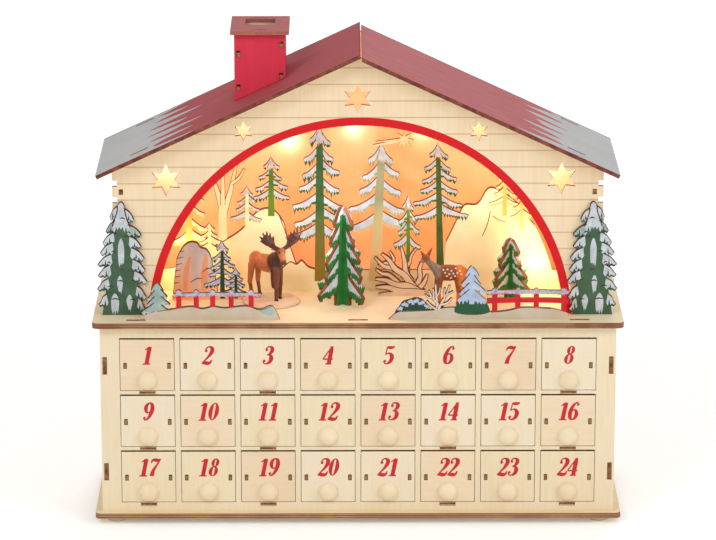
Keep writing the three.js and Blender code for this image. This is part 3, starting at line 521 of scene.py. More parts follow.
def lathe(name, profile, centre, axis, material, body, turns=40):
    """A turned form: profile is (radius, height along the axis), from the axis at the foot up to its top."""
    mesh = bmesh.new()
    frame_turn = Vector((0, 0, 1)).rotation_difference(Vector(axis)).to_matrix()
    rings = []
    for radius, height in profile:
        if radius < 1e-6:
            rings.append([mesh.verts.new((Vector(centre) + frame_turn @ Vector((0, 0, height))) * MM)])
            continue
        rings.append(ring_around(mesh, Vector(centre), frame_turn, radius, height, turns))
    for low, high in zip(rings, rings[1:]):
        for k in range(turns):
            n = (k + 1) % turns
            corners = [low[k % len(low)], low[n % len(low)], high[n % len(high)], high[k % len(high)]]
            mesh.faces.new(list(dict.fromkeys(corners)))
    bmesh.ops.recalc_face_normals(mesh, faces=mesh.faces)
    return piece(name, mesh_data(name, mesh, [material]), body, smooth=True)


def tube(name, points, radius, material, body, sides=10):
    """A round wire along the points."""
    mesh = bmesh.new()
    places = [Vector(p) for p in points]
    rings = []
    for i, spot in enumerate(places):
        ahead = places[min(i + 1, len(places) - 1)] - places[max(i - 1, 0)]
        turn = Vector((0, 0, 1)).rotation_difference(ahead.normalized()).to_matrix()
        rings.append(ring_around(mesh, spot, turn, radius, 0, sides))
    for low, high in zip(rings, rings[1:]):
        start = min(range(sides), key=lambda s: (high[s].co - low[0].co).length)
        for k in range(sides):
            n = (k + 1) % sides
            mesh.faces.new([low[k], low[n], high[(n + start) % sides], high[(k + start) % sides]])
    mesh.faces.new(rings[0][::-1])
    mesh.faces.new(rings[-1])
    bmesh.ops.recalc_face_normals(mesh, faces=mesh.faces)
    return piece(name, mesh_data(name, mesh, [material]), body, smooth=True)


# Materials of the plates, the cabinet and the house
face_birch = birch_sheet("birch_front", "y", "z", rgb(240, 224, 194), rgb(230, 209, 174))
side_birch = birch_sheet("birch_side", "x", "z")
tray_birch = plain_birch("birch_tray", "y")
burnt_edge = birch_sheet("burnt_edge", "y", "z", BURNT_LIGHT, BURNT)
slot_end = paint("slot_end", rgb(176, 128, 80), rgb(140, 94, 56), mottle=300.0)
front_tones = [
    birch_sheet("birch_drawer_1", "y", "z", rgb(240, 225, 194), rgb(228, 205, 166)),
    birch_sheet("birch_drawer_2", "y", "x", rgb(240, 221, 192), rgb(232, 207, 172)),
    birch_sheet("birch_drawer_3", "y", "z", rgb(241, 226, 201), rgb(234, 216, 184)),
    birch_sheet("birch_drawer_4", "y", "x", rgb(238, 217, 188), rgb(230, 203, 168)),
]
knob_wood = paint("knob_wood", rgb(242, 225, 194), rgb(234, 213, 177), mottle=40.0, roughness=0.5)
number_ink = paint("number_ink", NUMBER_RED, rgb(190, 38, 48), mottle=160.0)


def dress(node, material):
    """Gives a CAD node its material."""
    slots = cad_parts[node].data.materials
    slots.clear()
    slots.append(material)


def dress_plates():
    base_low, base_high = box_mm("base_plate")
    base = plate_sheet("plate_base", base_low.z, base_high.z - base_low.z, rgb(238, 222, 186),
                       rgb(226, 204, 162), 0.4)
    # The deck rim's stronger darkening (0.8) is painted shade as well as smoke
    deck = plate_sheet("plate_deck", deck_low.z, deck_high.z - deck_low.z, rgb(238, 222, 190),
                       rgb(226, 206, 170), 0.8)
    dress("base_plate", base)
    dress("deck_plate", deck)


def dress_cabinet():
    dress("face_frame", face_birch)
    dress("cabinet_back", face_birch)
    dress("cabinet_left_side", side_birch)
    dress("cabinet_right_side", side_birch)
    for tier in (1, 2, 3):
        low, _ = box_mm(f"rack_tier_{tier}")
        dress(f"rack_tier_{tier}", shelf_sheet(f"birch_shelf_{tier}", low.z + sheet / 2))


def dress_house():
    dress("house_front", house_sheet("gable_front"))
    dress("house_back", back_sheet("birch_house_back_painted_glow"))
    dress("house_left_wall", side_birch)
    dress("house_right_wall", side_birch)
    dress("roof_left", roof_sheet("roof_stain_left", -1))
    dress("roof_right", roof_sheet("roof_stain_painted_sheen_right", 1))


# Drawers
FRONT_GAP_TOP = 0.8
TAB_WIDTH = 2.7
TAB_HEIGHT = 4.7
TAB_INSET = 2.4
TAB_LOW = 17.0
TAB_SUNK = 0.15
TRAY_WALL = 2.5
TRAY_INSET = 1.35
TRAY_SHARE = 0.94
KNOB_RADIUS = 7.5
KNOB_PROUD = 5.5
KNOB_RISE = 7.7
NUMBER_LOW = 20.4
NUMBER_HEIGHT = 14.4
INK_PROUD = 0.05
DIGIT_ADVANCE = 0.53
DIGIT_SLANT = 0.2
DIGIT_WEIGHT = 1.16
DIGIT_HAIR = 0.022
THIN_TURN = 0.035

# Strokes of each digit in a box one unit high: (x, z, width)
DIGITS = {
    "0": {"loops": [(0.27, 0.5, 0.165, 0.455, 0.17)]},
    "1": {"lines": [[(0.29, 0.03, 0.17), (0.29, 0.93, 0.17)], [(0.08, 0.80, 0.03), (0.3, 0.93, 0.1)],
                    [(0.1, 0.022, 0.045), (0.48, 0.022, 0.045)]]},
    "2": {"lines": [[(0.08, 0.72, 0.03), (0.13, 0.9, 0.05), (0.28, 0.965, 0.06), (0.42, 0.86, 0.15),
                     (0.43, 0.68, 0.17), (0.33, 0.46, 0.11), (0.17, 0.24, 0.06), (0.04, 0.06, 0.05)],
                    [(0.05, 0.05, 0.05), (0.16, 0.09, 0.14), (0.33, 0.06, 0.15), (0.45, 0.1, 0.1),
                     (0.5, 0.26, 0.03)]],
          "balls": [(0.13, 0.74, 0.075)]},
    "3": {"lines": [[(0.08, 0.82, 0.03), (0.15, 0.94, 0.05), (0.28, 0.965, 0.06), (0.41, 0.86, 0.14),
                     (0.4, 0.68, 0.15), (0.3, 0.56, 0.06), (0.2, 0.53, 0.035)],
                    [(0.2, 0.53, 0.035), (0.36, 0.5, 0.08), (0.45, 0.34, 0.17), (0.41, 0.13, 0.14),
                     (0.24, 0.03, 0.05), (0.1, 0.07, 0.035), (0.06, 0.18, 0.03)]],
          "balls": [(0.13, 0.79, 0.07), (0.11, 0.19, 0.075)]},
    "4": {"lines": [[(0.36, 0.97, 0.045), (0.02, 0.3, 0.045)], [(0.02, 0.28, 0.05), (0.52, 0.28, 0.05)],
                    [(0.36, 0.97, 0.1), (0.36, 0.7, 0.17), (0.36, 0.03, 0.17)],
                    [(0.2, 0.022, 0.045), (0.51, 0.022, 0.045)]]},
    "5": {"lines": [[(0.12, 0.94, 0.06), (0.22, 0.91, 0.12), (0.36, 0.91, 0.12), (0.48, 0.96, 0.04)],
                    [(0.11, 0.95, 0.04), (0.09, 0.52, 0.035)],
                    [(0.09, 0.53, 0.035), (0.24, 0.61, 0.05), (0.4, 0.5, 0.14), (0.45, 0.31, 0.17),
                     (0.38, 0.11, 0.13), (0.22, 0.03, 0.05), (0.08, 0.1, 0.035)]],
          "balls": [(0.11, 0.17, 0.075)]},
    "6": {"lines": [[(0.44, 0.88, 0.03), (0.34, 0.965, 0.05), (0.17, 0.8, 0.12), (0.08, 0.44, 0.17),
                     (0.13, 0.13, 0.13), (0.26, 0.03, 0.05), (0.39, 0.12, 0.12), (0.43, 0.3, 0.15),
                     (0.37, 0.5, 0.1), (0.26, 0.57, 0.04), (0.15, 0.46, 0.03), (0.12, 0.34, 0.03)]],
          "balls": [(0.41, 0.85, 0.07)]},
    "7": {"lines": [[(0.06, 0.74, 0.03), (0.1, 0.88, 0.08), (0.24, 0.91, 0.14), (0.38, 0.88, 0.12),
                     (0.5, 0.96, 0.04)],
                    [(0.5, 0.95, 0.05), (0.36, 0.6, 0.08), (0.24, 0.32, 0.14), (0.21, 0.04, 0.18)]]},
    "8": {"loops": [(0.28, 0.75, 0.12, 0.21, 0.13), (0.26, 0.28, 0.15, 0.25, 0.15)]},
}


def digit_outlines(digit):
    """Outlines of one digit, with thick stems and thin turns."""
    if digit == "9":
        return [[(0.52 - x, 1 - z) for x, z in line] for line in digit_outlines("6")]
    form = DIGITS[digit]
    outlines = []
    for line in form.get("lines", []):
        heavy = [(x, z, w * DIGIT_WEIGHT + DIGIT_HAIR) for x, z, w in line]
        outlines += stroke(curve(heavy, 4) if len(heavy) > 2 else heavy)
    for x, z, rx, rz, stem in form.get("loops", []):
        turns = [2 * math.pi * k / 28 for k in range(28)]
        ring = []
        for t in turns:
            width = DIGIT_HAIR + THIN_TURN + DIGIT_WEIGHT * (stem - THIN_TURN) * math.cos(t) ** 2
            ring.append((x + rx * math.cos(t), z + rz * math.sin(t), width))
        outlines += stroke(ring, closed=True)
    outlines += [arc(x, z, r, 0, 340, 17) for x, z, r in form.get("balls", [])]
    return outlines


def number_shapes(text, middle, low):
    start = middle - NUMBER_HEIGHT * (DIGIT_ADVANCE * len(text) + DIGIT_SLANT * 0.6) / 2
    shapes = []
    for k, digit in enumerate(text):
        left = start + k * DIGIT_ADVANCE * NUMBER_HEIGHT
        for line in digit_outlines(digit):
            slanted = [(left + (x + DIGIT_SLANT * z) * NUMBER_HEIGHT, low + z * NUMBER_HEIGHT)
                       for x, z in line]
            shapes.append((SOLID, slanted, number_ink))
    return shapes


def block_faces(mesh, x0, x1, y0, y1, z0, z1):
    """Adds one closed box to a mesh."""
    corners = [mesh.verts.new(Vector((x, y, z)) * MM) for x in (x0, x1) for y in (y0, y1) for z in (z0, z1)]
    for loop in ((0, 1, 3, 2), (4, 6, 7, 5), (0, 4, 5, 1), (2, 3, 7, 6), (0, 2, 6, 4), (1, 5, 7, 3)):
        mesh.faces.new([corners[i] for i in loop])


def boxes(name, parts, material, body, bevel=0.0):
    mesh = bmesh.new()
    for part in parts:
        block_faces(mesh, *part)
    if bevel:
        bmesh.ops.bevel(mesh, geom=mesh.edges[:], offset=bevel * MM, segments=2, affect="EDGES")
    bmesh.ops.recalc_face_normals(mesh, faces=mesh.faces)
    return piece(name, mesh_data(name, mesh, [material]), body)


def build_drawer(number):
    body = f"drawer_{number:02d}"
    low, high = box_mm(body)
    middle = (low.x + high.x) / 2
    width = high.x - low.x
    face_y = low.y + KNOB_PROUD
    floor = low.z
    top = high.z - FRONT_GAP_TOP
    tone = front_tones[(number * 7 + number // 3) % len(front_tones)]
    shapes = [(SOLID, rectangle(low.x, high.x, floor, top), tone)]
    tabs = []
    for side in (-1, 1):
        outer = middle + side * (width / 2 - TAB_INSET)
        x0, x1 = sorted((outer, outer - side * TAB_WIDTH))
        foot = floor + TAB_LOW
        head = foot + TAB_HEIGHT
        shapes.append((HOLE, rectangle(x0, x1, foot, head), None))
        tabs.append((x0 + 0.5, x1 - 0.5, face_y + TAB_SUNK, face_y + sheet + 1, foot + 0.4, head - 0.9))
    front = board(f"{body}_front", shapes, standing(face_y), sheet, burnt_edge, body, back=face_birch)
    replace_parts(front, body)
    boxes(f"{body}_tabs", tabs, slot_end, body)

    tray_half = width / 2 - TRAY_INSET
    wall = TRAY_WALL
    y0, y1 = face_y + sheet, high.y
    tray_top = floor + TRAY_SHARE * (top - floor)
    boxes(f"{body}_tray", [
        (middle - tray_half, middle - tray_half + wall, y0, y1, floor, tray_top),
        (middle + tray_half - wall, middle + tray_half, y0, y1, floor, tray_top),
        (middle - tray_half + wall, middle + tray_half - wall, y1 - wall, y1, floor, tray_top),
        (middle - tray_half + wall, middle + tray_half - wall, y0, y1 - wall, floor, floor + wall),
    ], tray_birch, body)

    dome = [(0.0, -0.3), (KNOB_RADIUS, -0.3)]
    turns = [math.pi / 2 * k / 9 for k in range(10)]
    dome += [(KNOB_RADIUS * math.cos(t), KNOB_PROUD * math.sin(t)) for t in turns]
    dome[-1] = (0.0, KNOB_PROUD)
    lathe(f"{body}_knob", dome, (middle, face_y, floor + KNOB_RISE), (0, -1, 0), knob_wood, body)
    digits = number_shapes(str(number), middle, floor + NUMBER_LOW)
    board(f"{body}_number", digits, standing(face_y - INK_PROUD), 2 * INK_PROUD, number_ink, body)


# Chimney
SLOT_INSET = 1.6
SLOT_WIDTH = 3.0
SLOT_HEIGHT = 5.0
SLOT_SLACK = 0.3
SLOT_DROPS = {-1: (13.0, 39.0), 1: (6.0, 30.0)}
FLUE_HALF = 11.3
FLUE_FRONT = 0.56
FLUE_REAR = 0.16
LIP_HALF = 5
STAIN_DEEP = rgb(208, 48, 71)
STAIN_CHAR = rgb(150, 34, 50)


def build_chimney():
    red = stained("chimney_stain", "y", CHIMNEY_RED, STAIN_DEEP, STAIN_CHAR)
    side_red = stained("chimney_stain_side", "x", CHIMNEY_RED, STAIN_DEEP, STAIN_CHAR)
    cap_red = stained("chimney_cap_stain", "z", rgb(177, 97, 97), rgb(158, 83, 84), rgb(176, 108, 84))
    left, right = stack_low.x, stack_high.x
    y0, y1, top = stack_low.y, stack_high.y, stack_high.z
    rise = math.tan(roof_pitch)
    foot_left = stack_low.z
    foot_right = foot_left + (right - left) * rise
    outline = [(left, foot_left), (right, foot_right), (right, top), (left, top)]
    slots = []
    tabs = []
    for side, falls in SLOT_DROPS.items():
        edge = left if side < 0 else right
        for fall in falls:
            x0, x1 = sorted((edge - side * SLOT_INSET, edge - side * (SLOT_INSET + SLOT_WIDTH)))
            slots.append((HOLE, rectangle(x0, x1, top - fall - SLOT_HEIGHT, top - fall), None))
            for y in (y0 + SLOT_SLACK, y1 - sheet - SLOT_SLACK):
                low = top - fall - SLOT_HEIGHT + 0.2
                tabs.append((x0 + SLOT_SLACK, x1 - SLOT_SLACK, y, y + sheet, low, low + sheet))
    front = board("chimney_front", [(SOLID, outline, red)] + slots, standing(y0), sheet, red,
                  back=face_birch)
    inner = [(SOLID, outline, face_birch)] + slots
    board("chimney_back", inner, standing(y1 - sheet), sheet, red)
    walls = (("chimney_left", left, 1, foot_left), ("chimney_right", right, -1, foot_right))
    for name, x, side, foot in walls:
        low = foot + (sheet * rise if side > 0 else -sheet * rise)
        shape = rectangle(y0 + sheet, y1 - sheet, max(foot, low) if side > 0 else foot, top)
        board(name, [(SOLID, shape, side_red)], sideways(x, side), sheet, side_red)
    boxes("chimney_tabs", tabs, slot_end, ROOT)
    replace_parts(front, "chimney_stack")

    middle_x = (cap_low.x + cap_high.x) / 2
    depth = cap_high.y - cap_low.y
    hole = rectangle(middle_x - FLUE_HALF, middle_x + FLUE_HALF, cap_high.y - FLUE_FRONT * depth,
                     cap_high.y - FLUE_REAR * depth)
    cap_shapes = [(SOLID, rectangle(cap_low.x, cap_high.x, cap_low.y, cap_high.y), cap_red),
                  (HOLE, hole, None)]
    lips = []
    for y in (y0 + 0.2, y1 - sheet - 0.2):
        cap_shapes.append((HOLE, rectangle(middle_x - LIP_HALF, middle_x + LIP_HALF, y, y + sheet), None))
        half = LIP_HALF - SLOT_SLACK
        lips.append((middle_x - half, middle_x + half, y + 0.4, y + sheet - 0.4, top - 1, cap_high.z - 0.3))
    cap = board("chimney_top", cap_shapes, lying(cap_high.z), cap_high.z - cap_low.z, cap_red)
    boxes("chimney_lips", lips, slot_end, ROOT)
    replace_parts(cap, "chimney_cap")


def build_feet():
    felt = paint("foot_wood", rgb(236, 228, 204), rgb(222, 212, 184), mottle=200.0, roughness=0.8)
    for node in ("foot_front_left", "foot_front_right", "foot_rear_left", "foot_rear_right"):
        low, high = box_mm(node)
        radius = (high.x - low.x) / 2
        height = high.z - low.z
        rim = arc(radius - 1, 1, 1, -90, 0, 4) + arc(radius - 0.6, height - 0.6, 0.6, 0, 90, 3)
        profile = [(0.0, 0.0)] + rim + [(0.0, height)]
        centre = ((low.x + high.x) / 2, (low.y + high.y) / 2, low.z)
        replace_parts(lathe(f"{node}_pad", profile, centre, (0, 0, 1), felt, ROOT), node)


# Paints of the scenery
burnt_line = paint("burnt_line", rgb(92, 52, 34), rgb(60, 34, 26), mottle=300.0)
rust_edge = paint("rust_edge", rgb(136, 74, 46), rgb(100, 50, 34), mottle=220.0)
scene_line = paint("scene_line", rgb(116, 64, 38), rgb(92, 48, 32), mottle=260.0)
cream = paint("cream_board", rgb(247, 230, 192), rgb(240, 216, 170), mottle=50.0)
pale_snow = paint("pale_snow", rgb(200, 208, 216), rgb(172, 180, 192), mottle=160.0)
cool_snow = paint("cool_snow", rgb(206, 212, 216), rgb(176, 184, 192), mottle=140.0)
blue_snow = paint("blue_snow", rgb(190, 204, 226), rgb(160, 176, 204), mottle=160.0)
lilac_snow = paint("lilac_snow", rgb(202, 194, 208), rgb(152, 140, 164), mottle=420.0)
bank_snow = paint("bank_snow", rgb(208, 198, 182), rgb(199, 174, 146), mottle=36.0)
twig_white = paint("twig_white", rgb(236, 220, 200), rgb(216, 196, 176), mottle=90.0)
thicket_tan = paint("thicket_tan", rgb(227, 193, 162), rgb(209, 172, 143), mottle=90.0)
icy_snow = paint("icy_snow", rgb(168, 190, 184), rgb(144, 168, 160), mottle=80.0)
fence_red = paint("fence_red", rgb(218, 34, 42), rgb(192, 28, 44), mottle=120.0)
deep_green = paint("deep_green", rgb(53, 97, 49), rgb(42, 80, 42), (rgb(146, 118, 36), 172, 226), 80.0)
moss_green = paint("moss_green", rgb(70, 98, 40), rgb(53, 81, 33), None, 80.0)
bright_green = paint("bright_green", rgb(94, 136, 36), rgb(68, 111, 32), None, 80.0)
tree_green = paint("tree_green", rgb(50, 128, 54), rgb(36, 101, 45), None, 90.0)
fir_grey = paint("fir_grey", rgb(74, 104, 77), rgb(58, 88, 67), None, 70.0)
night_green = paint("night_green", rgb(44, 74, 58), rgb(34, 58, 50), None, 120.0)
mound_green = paint("mound_green", rgb(51, 100, 66), rgb(42, 85, 59), None, 60.0)
sage = paint("sage", rgb(158, 156, 116), rgb(141, 144, 105), (rgb(231, 202, 142), 190, 232), 60.0)
yellow_tree = paint("yellow_tree", rgb(222, 202, 116), rgb(206, 182, 92), None, 70.0)
rock_grey = paint("rock_grey", rgb(208, 202, 204), rgb(192, 180, 184), (rgb(234, 168, 118), 164, 188), 60.0)
rock_orange = paint("rock_orange", rgb(228, 168, 128), rgb(214, 150, 116), None, 60.0)
rock_pale = paint("rock_pale", rgb(202, 194, 196), rgb(188, 176, 178), None, 60.0)

SCENE_TILT = math.radians(45)


def up(points):
    """Drawn places and heights above the deck, as places in the frame; widths stay."""
    return [(p[0], deck_top + p[1], *p[2:]) for p in points]


def burnt(line):
    """A burnt line through points of place, height and width in the frame."""
    return [(PAINT, part, burnt_line) for part in stroke(line)]


def teeth(start, end, count, depth):
    """A ragged edge from start to end whose points hang down."""
    def along(share):
        return start[0] + (end[0] - start[0]) * share, start[1] + (end[1] - start[1]) * share

    points = []
    for k in range(count):
        x, z = along((k + 0.5) / count)
        drop = depth * (0.65 + 0.35 * math.sin(5.1 * k + start[0]))
        points += [(x, z - drop), along((k + 1) / count)]
    return points


# Line of a branch from the trunk out to its tip: share of the reach, share of the step between branches
DROOPING = [(0.0, 1.05), (0.2, 0.74), (0.45, 0.44), (0.72, 0.2), (0.93, 0.12), (1.0, 0.0)]
STEEP = [(0.0, 1.5), (0.3, 1.06), (0.62, 0.58), (0.88, 0.2), (1.0, 0.0)]


def fir_shapes(x, foot, top, skirt, half, tiers, trunk, bark, tuft, snow, lean=0.0, phase=0.0, waist=0.42,
               tip_share=0.24, lift=0.14, sag=-0.12, cover=0.26, line=0.7, branch=DROOPING, capped=True):
    """A fir in tiers of branches: green tufts, snow on each branch, a trunk, and a snow cap."""
    foot, top, skirt = deck_top + foot, deck_top + top, deck_top + skirt
    step = (top - skirt) / tiers
    shapes = []
    lines = []
    for k in range(tiers, 0, -1):
        for side in (-1, 1):
            sway = 1 + 0.1 * math.sin(2.4 * k + phase + (0 if side > 0 else 1.7))
            reach = half * (tip_share + (1 - tip_share) * k / tiers) * sway
            tip = top - step * k + 0.12 * step * math.sin(1.9 * k + phase + side)
            inner = min(trunk / reach, waist) if k == tiers else waist
            middle = x + lean * (tip - foot) / (top - foot)

            def spot(share, rise):
                return middle + side * reach * share, tip + step * rise

            def hanging(rise, count, depth):
                """The ragged line under a branch, from its tip in to the trunk."""
                end, elbow, root = spot(0.96, rise - 0.18), spot(0.5, rise + sag), spot(inner, rise + lift)
                return [end] + teeth(end, elbow, count, depth) + teeth(elbow, root, count, depth)

            upper = curve([spot(share, min(rise, k - 0.35 * share)) for share, rise in branch], 3)
            count = max(1, round(reach / 6))
            shapes.append((SOLID, upper + hanging(0.0, count, 0.36 * step) + [spot(0.0, lift)], tuft))
            drift = hanging(cover * 0.5, count + 1, 0.2 * step) + [spot(0.0, lift + cover)]
            shapes.append((PAINT, upper + drift, snow))
            lines += burnt([(*place, line) for place in upper[2:]])
    bare = top - step * 0.4
    ridge = x + lean * (bare - foot) / (top - foot)
    slim = 0.55 * trunk
    stem = [(x - trunk, foot), (x + trunk, foot), (ridge + slim, bare), (ridge - slim, bare)]
    wide = 0.5 * trunk + 0.6
    cap = [(x + lean, top), (x + lean + wide, top - 0.75 * step)]
    cap += teeth((ridge + wide, top - step), (ridge - wide, top - step), 4, 0.3 * step)
    cap += [(x + lean - wide, top - 0.75 * step)]
    return shapes + lines + [(SOLID, stem, bark)] + ([(PAINT, cap, snow)] if capped else [])


def scenery(node, name, shapes, edge, back=cream):
    """A sheet that stands where the CAD node does, and replaces it."""
    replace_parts(board(name, shapes, standing(box_mm(node)[0].y), sheet, edge, back=back), node)


def bank_shape(left, right, foot, line, material):
    return SOLID, up([(left, foot)] + curve(line, 4) + [(right, foot)]), material


def strokes(kind, lines, material):
    bent = [curve(up(line), 4) if len(line) > 2 else up(line) for line in lines]
    return [(kind, part, material) for line in bent for part in stroke(line)]


def outlined(lines, material, edge, margin):
    """Strokes with a darker line round each of them."""
    shapes = []
    for line in lines:
        shapes += strokes(SOLID, [[(x, h, width + margin) for x, h, width in line]], edge)
        shapes += strokes(SOLID, [line], material)
    return shapes


# Forest board behind the scene
# Each row starts as fir_shapes does: place, foot, top, skirt, half width, tiers, trunk, bark, tuft, snow
FOREST_FIRS = [
    ((-129.4, 20, 103, 40, 17, 6, 3, yellow_tree, yellow_tree, cream), dict(phase=0.4)),
    ((-113.8, 26, 55, 34, 10, 4, 1.6, cream, cream, cream), dict(phase=1.1)),
    ((-84.8, 46, 84, 58, 12, 4, 1.8, cream, sage, pale_snow), dict(phase=2.2)),
    ((-66.3, 60, 106.5, 74, 15, 4, 2.6, bright_green, moss_green, pale_snow), dict(phase=0.2)),
    ((-29, 8, 131, 42, 25, 7, 4.2, deep_green, deep_green, pale_snow), dict(phase=0.9, waist=0.3)),
    ((13, 8, 118, 52, 25, 5, 4.6, sage, sage, pale_snow), dict(lean=6, phase=2.6, waist=0.32)),
    ((39, 8, 77, 36, 11, 4, 1.8, bright_green, bright_green, pale_snow), dict(phase=1.7)),
    ((64, 8, 116.5, 60, 21, 6, 3, moss_green, deep_green, pale_snow), dict(lean=-2.5, phase=0.5, waist=0.3)),
    ((113, 60, 96, 70, 11, 4, 1.8, yellow_tree, yellow_tree, cream), dict(phase=2.9)),
    ((126, 50, 78, 60, 8, 3, 1.5, yellow_tree, yellow_tree, cream), dict(phase=0)),
]
LEFT_HILL = [(-150, 18), (-138, 20), (-119, 31), (-99, 43), (-88, 51), (-77, 64), (-66, 66), (-57, 56),
             (-53, 40), (-47, 22)]
RIGHT_HILL = [(68, 40), (76, 57), (82, 69), (92, 70), (100, 82), (108, 81), (121, 72), (136, 53), (148, 24)]
LOW_BANK = [(-58, 19), (-52, 24), (-47, 22), (-43, 25), (-38, 20), (-30, 17.5)]
BARE_TREE = [
    [(-104, 17, 7), (-103.6, 40, 6.6), (-103.5, 68, 6)],
    [(-103.5, 62, 4.6), (-106, 74, 3.6), (-113, 98, 1.4)],
    [(-103, 62, 4.6), (-98, 78, 3.2), (-92.5, 102, 1.4)],
    [(-103.5, 64, 3.4), (-103.2, 90, 2.2), (-103.8, 113, 1.2)],
    [(-109.6, 85, 2.2), (-114, 90, 1.6), (-119, 96, 1)],
    [(-96.4, 86, 2.2), (-91, 90, 1.6), (-87, 97, 1)],
]
STAR = (35.7, 120, 7.4)
STAR_TAIL = [[(12, 115.6, 1.2), (33, 119.6, 2.4)], [(14, 118.4, 0.8), (32, 120.4, 1.2)]]
HILL_MARKS = [[(96, 44, 0.6), (100, 54, 0.8), (102, 64, 0.5)],
              [(104, 60, 0.7), (108, 57, 0.6), (114, 55, 0.5)],
              [(-60, 60, 0.7), (-55, 46, 0.7), (-52, 38, 0.5)]]


def star_line(x, z, radius, tips, waist):
    turns = [math.pi / 2 + math.pi * k / tips for k in range(2 * tips)]
    return [(x + (radius if k % 2 == 0 else radius * waist) * math.cos(t),
             z + (radius if k % 2 == 0 else radius * waist) * math.sin(t)) for k, t in enumerate(turns)]


def build_forest():
    low, high = box_mm("forest_board")
    ground = 17.0
    shapes = [
        (SOLID, up([(low.x + 5, 0), (high.x, 0), (high.x, ground), (low.x, ground), (low.x, 5),
                    (low.x + 5, 5)]), cream),
        bank_shape(-150, -46, 16, LEFT_HILL, cream),
        bank_shape(66, 150, 16, RIGHT_HILL, cream),
        bank_shape(-60, -28, 16, LOW_BANK, cream),
    ]
    shapes += outlined(BARE_TREE[1:], cream, scene_line, 0.9) + strokes(SOLID, BARE_TREE[:1], cream)
    ridges = [[(x, h - 0.4, 0.9) for x, h in hill] for hill in (LEFT_HILL[2:], RIGHT_HILL[:-1], LOW_BANK)]
    shapes += strokes(PAINT, ridges + HILL_MARKS, scene_line)
    for fir, more in FOREST_FIRS:
        shapes += fir_shapes(*fir, **more)
    shapes += strokes(SOLID, STAR_TAIL, cream)
    x, height, radius = STAR
    shapes.append((SOLID, star_line(x, deck_top + height, radius, 8, 0.45), yellow_tree))
    shapes.append((PAINT, star_line(x, deck_top + height, radius * 0.8, 8, 0.4), cream))
    scenery("forest_board", "forest", shapes, rust_edge)


def build_rock():
    rock = [(-141.5, 4), (-141, 9), (-140.4, 16), (-139.3, 25), (-138.6, 32), (-136, 38.3), (-132.4, 43.5),
            (-128, 46.3), (-122.8, 45.7), (-119.9, 42), (-115.5, 40.4), (-112, 34.4), (-110.5, 26),
            (-109, 18.5), (-107.5, 10), (-107, 4)]
    shapes = [bank_shape(-142, -106.5, 0, rock, rock_grey),
              (SOLID, up(rectangle(-142, -88, 0, 3)), rock_grey)]
    veins = [[(-128, 34, 2), (-131, 24, 4), (-132, 8, 3)], [(-116, 36, 2), (-117, 22, 5), (-118, 8, 3.6)]]
    pale = [[(-124, 42, 3), (-125, 26, 5), (-124.4, 9, 2.4)],
            [(-112, 32, 2), (-111.4, 22, 2.6), (-112, 12, 1.2)]]
    ticks = [[(-141.6 + 0.9 * k, 13 + 5 * k, 0.8), (-136.6 + 0.8 * k, 14 + 5 * k, 0.5)] for k in range(6)]
    cracks = [[(-128, 14, 0.5), (-123, 17, 0.8), (-119, 17, 0.4)],
              [(-119, 22, 0.4), (-115, 25, 0.8), (-111, 24.6, 0.4)]]
    shapes += strokes(PAINT, veins, rock_orange) + strokes(PAINT, pale, rock_pale)
    shapes += strokes(PAINT, [[(x, h - 0.4, 0.8) for x, h in rock]] + ticks + cracks, burnt_line)
    shapes += fir_shapes(-103.6, 1, 46.8, 12, 13, 5, 1.9, night_green, night_green, blue_snow, phase=0.8,
                         cover=0.2)
    shapes += fir_shapes(-93.2, 1, 25.4, 6, 8.6, 4, 1.4, night_green, night_green, blue_snow, phase=2.0,
                         cover=0.2)
    scenery("rock_board", "rock", shapes, burnt_line)


def build_thicket():
    sticks = [
        [(36, 22, 2.4), (40, 27, 1.8), (41, 32, 1.4), (45, 38, 0.8)],
        [(45, 8, 3.6), (48, 15, 3), (47.6, 22, 2.4), (51, 31, 1)],
        [(46, 6, 3.8), (50.6, 10, 2.8), (53.4, 17, 1)],
        [(29, 20, 2.6), (27, 26, 2), (27.6, 30, 1.6), (24.6, 35.6, 0.9)],
        [(25, 26, 2.2), (21, 26.4, 1.8), (16, 24, 0.9)],
        [(31, 11, 2.8), (24, 17, 2.4), (19, 18, 2), (14, 21.4, 0.9)],
        [(41, 12, 4), (37, 19, 3.4), (36, 28, 2.8), (33.4, 39, 1)],
        [(34, 18, 3.4), (26, 22.6, 3), (20, 24, 2.4), (13.4, 30.8, 1)],
        [(47, 3.4, 5), (41, 9.6, 4.8), (36, 16.6, 4.2), (28.6, 22, 3.6), (24, 29, 2.6), (18.6, 33.6, 1.2)],
        [(47, 4, 4.6), (38, 8.4, 4.4), (30, 9, 4), (22, 12.6, 3), (13.8, 13.6, 1.2)],
        [(51, 2.8, 4.2), (42, 3.6, 4.4), (32, 4.2, 4), (23, 7, 3.2), (14, 7, 1.4)],
    ]
    shapes = outlined(sticks, thicket_tan, scene_line, 1.4)
    shapes.append(bank_shape(16, 54, 0, [(16, 2), (26, 3.4), (38, 3), (50, 4), (54, 2)], thicket_tan))
    scenery("thicket_board", "thicket", shapes, rust_edge)


